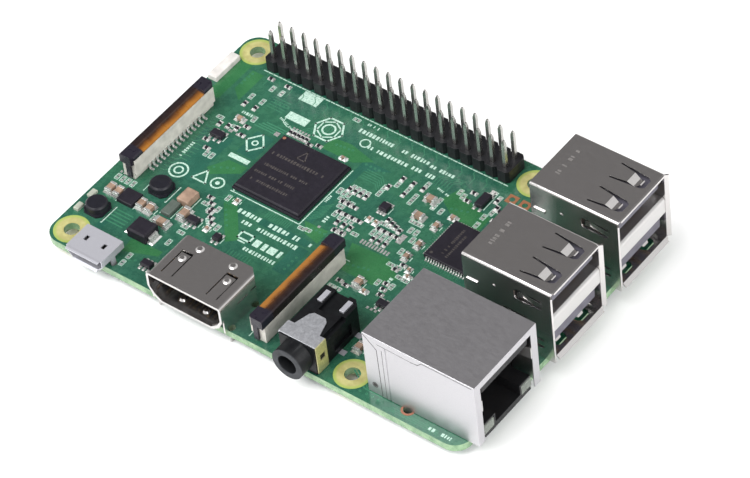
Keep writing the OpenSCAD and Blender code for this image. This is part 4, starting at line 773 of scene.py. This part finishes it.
def pad_rows():
    """Longer rows of bare tinned pads that take no part here."""
    shapes = Shapes()
    for x, y, count, step, length, width in (
        (45.3, 27.0, 10, 0.59, 0.36, 0.9), (40.0, 26.9, 4, 0.62, 0.4, 0.8),
        (20.1, 41.4, 6, 0.62, 0.38, 0.5), (2.0, 18.1, 5, 0.72, 0.42, 0.5), (54.9, 16.0, 3, 0.8, 0.45, 0.5),
    ):
        for i in range(count):
            shapes.bar(x + step * i, y, length, width, PAD_H)
    for x, y, length, width in ((50.5, 30.8, 1.0, 2.1), (56.9, 47.2, 0.9, 0.9), (11.4, 35.3, 0.8, 0.6),
                                (12.9, 35.2, 0.5, 0.5), (18.5, 38.8, 0.9, 0.9), (37.5, 25.8, 0.5, 0.5)):
        shapes.bar(x, y, length, width, PAD_H)
    shapes.piece("bare_pads", TIN, "tinned_lead")


def islands(node):
    """The millimetre boxes of a node's separate solids."""
    mesh = NODES[node].data
    parent = list(range(len(mesh.vertices)))

    def root(i):
        while parent[i] != i:
            parent[i] = parent[parent[i]]
            i = parent[i]
        return i

    seen = {}
    for vertex in mesh.vertices:
        key = tuple(round(c / MM, 3) for c in vertex.co)
        parent[vertex.index] = seen.setdefault(key, vertex.index)
    for edge in mesh.edges:
        a, b = (root(i) for i in edge.vertices)
        parent[a] = b
    groups = {}
    for vertex in mesh.vertices:
        groups.setdefault(root(vertex.index), []).append(corner_mm(vertex.co))
    boxes = []
    for points in groups.values():
        axes = list(zip(*points))
        boxes.append((Vector(map(min, axes)), Vector(map(max, axes))))
    return sorted(boxes, key=lambda box: tuple(box[0]))


def part_solder():
    """Solder at the ends of the small parts: a flat pad with a fillet rising against each terminal."""
    shapes = Shapes()
    hug, least_fillet = 0.015, 0.12
    for node, spread, rise in (("capacitor_terminals", 0.26, 0.55), ("resistor_terminals", 0.17, 0.7),
                               ("transistor_leads", 0.12, 0.5), ("power_diode_leads", 0.3, 0.2)):
        for low, high in islands(node):
            middle = (low + high) / 2
            foot = [middle.x - low.x + spread, middle.y - low.y + spread]
            head = [middle.x - low.x + hug, middle.y - low.y + hug]
            top = max(PAD_H * 2, (high.z - low.z) * rise)
            levels = [(foot, 0.0), (foot, PAD_H)]
            if top > least_fillet:
                levels.append((head, top))
            loops = [[(middle.x + a * half[0], middle.y + b * half[1], z)
                      for a, b in ((-1, -1), (1, -1), (1, 1), (-1, 1))] for half, z in levels]
            for lower, upper in zip(loops, loops[1:]):
                shapes.between(lower, upper)
    shapes.piece("part_solder", TIN, "tinned_lead")


def part_outlines():
    """Printed lines on two sides of the larger parts and the capacitors."""
    shapes = Shapes()
    width = 0.16
    for node, room in (("power_inductors", 0.35), ("bulk_capacitor", 0.3), ("power_fuse", 0.28),
                       ("power_regulator", 0.25), ("small_transistors", 0.3), ("ceramic_capacitors", 0.55)):
        for low, high in islands(node):
            for x in (low.x - room, high.x + room):
                shapes.bar(x, (low.y + high.y) / 2, width, high.y - low.y, INK_H)
    shapes.piece("part_outlines", INK)


# The shells' tails, in millimetres: how far back from the front, how far out from the middle, and the
# radius of their solder underneath.
USB_DEPTH = 16.9
USB_TAILS_BACK = (14.8, 6.4)
USB_TAIL_OUT = 6.4
USB_TAIL_SOLDER = 1.2
LAN_TAIL_BACK = 13.8
LAN_TAIL_SOLDER = 1.15
LAN_HALF_SHEET = 0.125


def tail_places():
    """Where the shells' tails pass through the board, with the radius of the solder round each."""
    places = []
    for i in (1, 2):
        low, high = box_mm(f"usb_pair_{i}_shell")
        middle = (low.y + high.y) / 2
        for back in USB_TAILS_BACK:
            for out in (-USB_TAIL_OUT, USB_TAIL_OUT):
                places.append((low.x + USB_DEPTH - back, middle + out, USB_TAIL_SOLDER))
    low, high = box_mm("ethernet_shell")
    for y in (low.y + LAN_HALF_SHEET, high.y - LAN_HALF_SHEET):
        places.append((high.x - LAN_TAIL_BACK, y, LAN_TAIL_SOLDER))
    return places


def cone(r):
    """The profile of solder that climbs a pin: radius and height from foot to tip."""
    return [(r, 0.0), (r, 0.06), (r * 0.72, 0.32), (r * 0.45, 0.75), (r * 0.3, 1.05)]


def solder_joints():
    """Cones of solder where pins and tails come through the underside."""
    shapes = Shapes(underside)
    for low, high in islands("header_pins"):
        shapes.turned((low.x + high.x) / 2, (low.y + high.y) / 2, cone(0.86))
    deepest = -THICKNESS - 0.9
    usb_half_pin = 0.13
    for node in ("usb_pair_1_contacts", "usb_pair_2_contacts", "ethernet_contacts"):
        for low, high in islands(node):
            if low.z < deepest:
                x = low.x + usb_half_pin if "usb" in node else (low.x + high.x) / 2
                shapes.turned(x, (low.y + high.y) / 2, cone(0.72))
    for x, y, radius in tail_places():
        shapes.turned(x, y, cone(radius))
    shapes.piece("underside_solder", TIN, "tinned_lead")


def controller_leads():
    """Gull-wing leads on all four sides of the network controller."""
    shapes = Shapes()
    low, high = box_mm("usb_network_controller")
    middle = (low + high) / 2
    half = (high.x - low.x) / 2
    pitch, count, width = 0.5, 16, 0.25
    for side in range(4):
        turn = math.radians(90 * side)
        c, s = math.cos(turn), math.sin(turn)
        for i in range(count):
            along = (i - (count - 1) / 2) * pitch
            path = [(half - 0.1, 0.42), (half + 0.14, 0.42), (half + 0.26, 0.05), (half + 0.58, 0.05)]
            for (x0, z0), (x1, z1) in zip(path, path[1:]):
                lower = []
                for out, z, edge in ((x0, z0, -1), (x1, z1, -1), (x1, z1, 1), (x0, z0, 1)):
                    over = along + edge * width / 2
                    lower.append((middle.x + out * c - over * s, middle.y + out * s + over * c, z - 0.04))
                shapes.between(lower, [(x, y, z + 0.09) for x, y, z in lower])
    shapes.piece("controller_leads", TIN, "tinned_lead")


# ---------------------------------------------------------------- print on the board and the parts

def hexagon(x, y, radius, turn=0.0):
    angles = [math.radians(60 * i + turn) for i in range(6)]
    return [(x + radius * math.cos(a), y + radius * math.sin(a)) for a in angles]


def emblems():
    """Plain pictograms where the board carries marks: a nut, target, triangle, diamond and screen."""
    shapes = Shapes()
    line = 0.34
    shapes.outline(hexagon(25.2, 44.3, 2.75), line, INK_H)
    shapes.outline(hexagon(25.2, 44.3, 2.05, 30), 0.26, INK_H)
    shapes.ring(25.2, 44.3, 0.95, 1.28, INK_H)
    shapes.ring(9.8, 23.5, 1.45, 1.75, INK_H)
    shapes.ring(9.8, 23.5, 0.6, 0.9, INK_H)
    shapes.outline([(12.7, 23.4), (15.5, 23.4), (14.1, 26.0)], 0.3, INK_H)
    shapes.ring(17.2, 24.6, 1.0, 1.3, INK_H)
    shapes.disc(17.2, 24.6, 0.4, INK_H)
    shapes.outline([(16.7, 37.4), (18.5, 35.2), (16.7, 33.0), (14.9, 35.2)], 0.32, INK_H)
    shapes.ring(16.7, 35.2, 0.35, 0.62, INK_H, steps=20)
    shapes.bar(16.7, 30.95, 4.1, 0.95, INK_H)
    # A screen on a foot, then four blocks, beside the video socket.
    shapes.outline([(27.6, 16.9), (30.0, 16.9), (30.0, 18.3), (27.6, 18.3)], 0.34, INK_H)
    shapes.bar(28.8, 16.35, 1.5, 0.28, INK_H)
    for i, wide in enumerate((1.2, 0.8, 1.5, 0.6)):
        shapes.bar(31.3 + 1.55 * i, 17.35, wide, 1.5, INK_H)
    shapes.piece("emblems", INK)


def small_print():
    """Rows of marks without letters, and the printed lines along the parts."""
    rng = random.Random(5)
    shapes = Shapes()
    for x0, y0, x1, y1, tall in (
        (24.0, 21.7, 28.8, 21.7, 1.05), (30.4, 21.7, 38.9, 21.7, 1.05), (26.1, 20.0, 27.9, 20.0, 0.95),
        (29.3, 20.0, 37.4, 20.0, 0.95), (30.0, 15.4, 36.4, 15.4, 0.85), (29.6, 47.0, 36.2, 47.0, 0.95),
        (33.2, 44.6, 41.3, 44.6, 0.95), (42.2, 44.7, 47.4, 44.7, 0.95), (38.6, 46.9, 43.8, 46.9, 0.9),
        (44.6, 46.6, 49.4, 46.6, 0.8), (7.9, 26.2, 7.9, 29.8, 0.7), (30.0, 48.8, 32.4, 48.8, 0.6),
        (37.4, 26.4, 37.4, 28.4, 0.8), (54.4, 19.8, 54.4, 22.8, 0.8), (16.6, 42.2, 19.4, 41.2, 0.5),
        (78.2, 1.1, 82.4, 1.1, 0.8), (9.8, 39.9, 12.6, 39.9, 0.7), (62.6, 46.0, 62.6, 43.2, 0.6),
        (20.8, 17.4, 22.4, 15.6, 0.6), (48.6, 43.2, 51.4, 42.6, 0.5), (34.9, 30.4, 34.9, 32.4, 0.5),
    ):
        shapes.dashes(x0, y0, x1, y1, tall, INK_H, rng)
    shapes.ring(32.3, 45.0, 0.75, 1.0, INK_H, steps=24)
    shapes.bar(18.2, 48.4, 3.8, 2.2, INK_H / 2)
    shapes.bar(19.2, 43.5, 4.2, 1.7, INK_H / 2)
    shapes.piece("small_print", INK)

    lines = Shapes()
    header_low, header_high = box_mm("header_housing")
    front = header_low.y - 0.28
    x, dash, pace = header_low.x, 0.9, 1.02
    while x < header_high.x:
        lines.bar(x + 0.5, front, dash, 0.2, INK_H)
        x += pace
    low, high = box_mm("processor")
    below, beside = low.y - 0.42, high.x + 0.36
    lines.stroke([(low.x, below), (beside, below), (beside, high.y)], 0.2, INK_H)
    lines.stroke([(low.x + 0.8, below), (low.x - 0.35, low.y + 0.7)], 0.16, INK_H)
    for low, high in islands("power_inductors"):
        lines.bar(high.x + 0.45, (low.y + high.y) / 2 - 0.1, 0.34, high.y - low.y + 0.2, INK_H)
    lines.stroke([(17.4, 42.8), (17.6, 41.6), (18.8, 41.1), (22.0, 41.1)], 0.14, INK_H)
    low, high = box_mm("camera_connector_housing")
    beside, above = low.x - 0.5, high.y + 0.6
    lines.stroke([(beside, low.y - 0.3), (beside, above), (high.x + 0.3, above)], 0.16, INK_H)
    lines.piece("printed_lines", INK)


def chip_marks():
    """Faint marks on the moulded chips; none of them is lettering."""
    rng = random.Random(3)
    low, high = box_mm("processor")
    marks = Shapes(on_level(high.z))
    left, thin = low.x + 1.3, 0.008
    for up, reach, tall in ((9.3, 10.6, 0.75), (6.6, 9.2, 0.6), (4.6, 8.6, 0.6), (2.8, 8.0, 0.65)):
        marks.dashes(left, low.y + up, left + reach, low.y + up, tall, thin, rng)
    foot = low.y + 10.4
    marks.outline([(left + 4.2, foot), (left + 5.9, foot), (left + 5.05, foot + 2)], 0.2, thin)
    marks.piece("processor_marks", FAINT)
    dot = Shapes(on_level(high.z))
    dot.disc(low.x + 0.9, high.y - 1.0, 0.3, thin)
    dot.piece("processor_corner_dot", RUST)
    low, high = box_mm("usb_network_controller")
    marks = Shapes(on_level(high.z))
    for along, run in ((2.6, 6.6), (3.6, 5.4)):
        marks.dashes(low.x + along, low.y + 1.2, low.x + along, low.y + 1.2 + run, 0.55, thin, rng)
    marks.disc(low.x + 0.9, low.y + 0.9, 0.28, thin)
    marks.piece("controller_marks", FAINT)


def usb_marks():
    """The pressed mark behind each pair of fingers, as a plain row of bars."""
    rng = random.Random(9)
    lip_rise = 0.1
    for i in (1, 2):
        low, high = box_mm(f"usb_pair_{i}_shell")
        middle = (low.y + high.y) / 2
        marks = Shapes(on_level(high.z - lip_rise))
        x = low.x + 2.6
        marks.dashes(x, middle - 2.6, x, middle + 3.0, 0.9, 0.006, rng)
        marks.piece(f"usb_pair_{i}_pressed_marks", ETCH)


# ---------------------------------------------------------------- network socket and board edge

def socket_side(x, z, out=0.0):
    """The side of the network shell that faces the audio jack, as a drawing plane."""
    return at(x, box_mm("ethernet_shell")[0].y - out, z)


def network_seams():
    """The folded sheet's joint lines on the visible side of the network shell, and its locating dimple."""
    low, high = box_mm("ethernet_shell")
    seams = Shapes(socket_side)
    line, thin = 0.11, 0.012
    rear, top, front = low.x, high.z, high.x
    seams.stroke([(rear + 0.15, top - 0.3), (rear + 2.6, top - 2.6), (rear + 2.75, 0.3)], line, thin)
    seams.stroke([(rear + 3.6, top - 2.2), (rear + 3.6, 0.3)], line * 0.7, thin)
    seams.stroke([(rear + 9.2, top - 1.35), (rear + 10.6, top - 1.25), (rear + 11.4, top - 0.45),
                  (rear + 12.6, top - 0.4), (front - 0.5, top - 0.4)], line, thin)
    seams.stroke([(rear + 2.8, top - 1.2), (rear + 9.2, top - 1.35)], line * 0.6, thin)
    seams.piece("network_shell_seams", SEAM)
    dimple = Shapes(socket_side)
    dimple.disc(rear + 1.5, 2.2, 0.34, thin)
    dimple.ring(rear + 1.5, 2.2, 0.42, 0.55, thin * 2, steps=20)
    dimple.piece("network_shell_dimple", SEAM)


def heat_stain():
    """The reddish collar of the tail hole beside the network socket."""
    low, high = box_mm("ethernet_shell")
    stain = Shapes()
    stain.ring(high.x - LAN_TAIL_BACK, low.y + 0.12, 0.86, 1.22, PAD_H + 0.02, steps=28)
    stain.piece("tail_hole_collar", RUST)


def underside_detail():
    """Test pads, bare pads of small parts, marks and tracks under the board."""
    rng = random.Random(21)
    pads, print_rows = Shapes(underside), Shapes(underside)
    for x, y, count, dx, dy, radius in (
        (20, 8, 6, 3.2, 0, 0.6), (38, 6.5, 5, 2.6, 0.6, 0.5), (30, 44, 8, 2.5, 0, 0.45),
        (62, 30, 5, 0, -2.4, 0.5), (44, 38, 4, 2.4, -1.2, 0.6), (17.5, 38, 4, 0, -2.2, 0.5),
        (50, 24, 4, 2.2, 0.8, 0.55),
    ):
        for i in range(count):
            pads.disc(x + dx * i, y + dy * i, radius, PAD_H)
    for x, y, columns, rows in ((36, 31, 4, 7), (19, 21, 6, 3), (40, 16, 6, 4), (52, 40, 6, 3)):
        for i in range(columns):
            for j in range(rows):
                for side in (-0.32, 0.32):
                    pads.bar(x + 1.3 * i + side, y + 1.1 * j, 0.34, 0.5, PAD_H)
    pads.piece("underside_pads", TIN, "tinned_lead")
    for x0, y0, x1, y1, tall in ((20, 48.4, 44, 48.4, 1.0), (46, 46, 46, 38, 0.8), (18, 12, 30, 12, 0.9),
                                 (36, 24, 48, 24, 0.8), (58, 12, 58, 20, 0.8)):
        print_rows.dashes(x0, y0, x1, y1, tall, INK_H, rng)
    low, high = box_mm("memory_chip")
    print_rows.outline([(low.x - 0.4, low.y - 0.4), (high.x + 0.4, low.y - 0.4),
                        (high.x + 0.4, high.y + 0.4), (low.x - 0.4, high.y + 0.4)], 0.18, INK_H)
    print_rows.piece("underside_print", INK)
    tracks = Shapes(underside)
    for x, y, step, count, run in ((22, 36, 0.5, 10, 14), (48, 30, 0.6, 8, 10), (20, 14, 0.6, 8, 18)):
        for i in range(count):
            level = y + step * i
            tracks.stroke([(x, level), (x + run, level), (x + run + 2, level + 2)], 0.15, TRACE_H, SUNK)
    tracks.piece("underside_traces", TRACE, "board")


for node in NODES:
    dress(node)

make_camera()
make_world()
soft_box("key", (-0.5, -0.9, 1.5), (1.4, 1.4), 33)
soft_box("side", (1.4, -0.3, 0.8), (1.2, 1.2), 17)
make_floor()

copper_pours()
traces()
via_holes()
empty_places()
pad_rows()
part_solder()
part_outlines()
solder_joints()
controller_leads()
emblems()
small_print()
chip_marks()
usb_marks()
network_seams()
heat_stain()
underside_detail()

bpy.context.scene.view_settings.view_transform = "Standard"
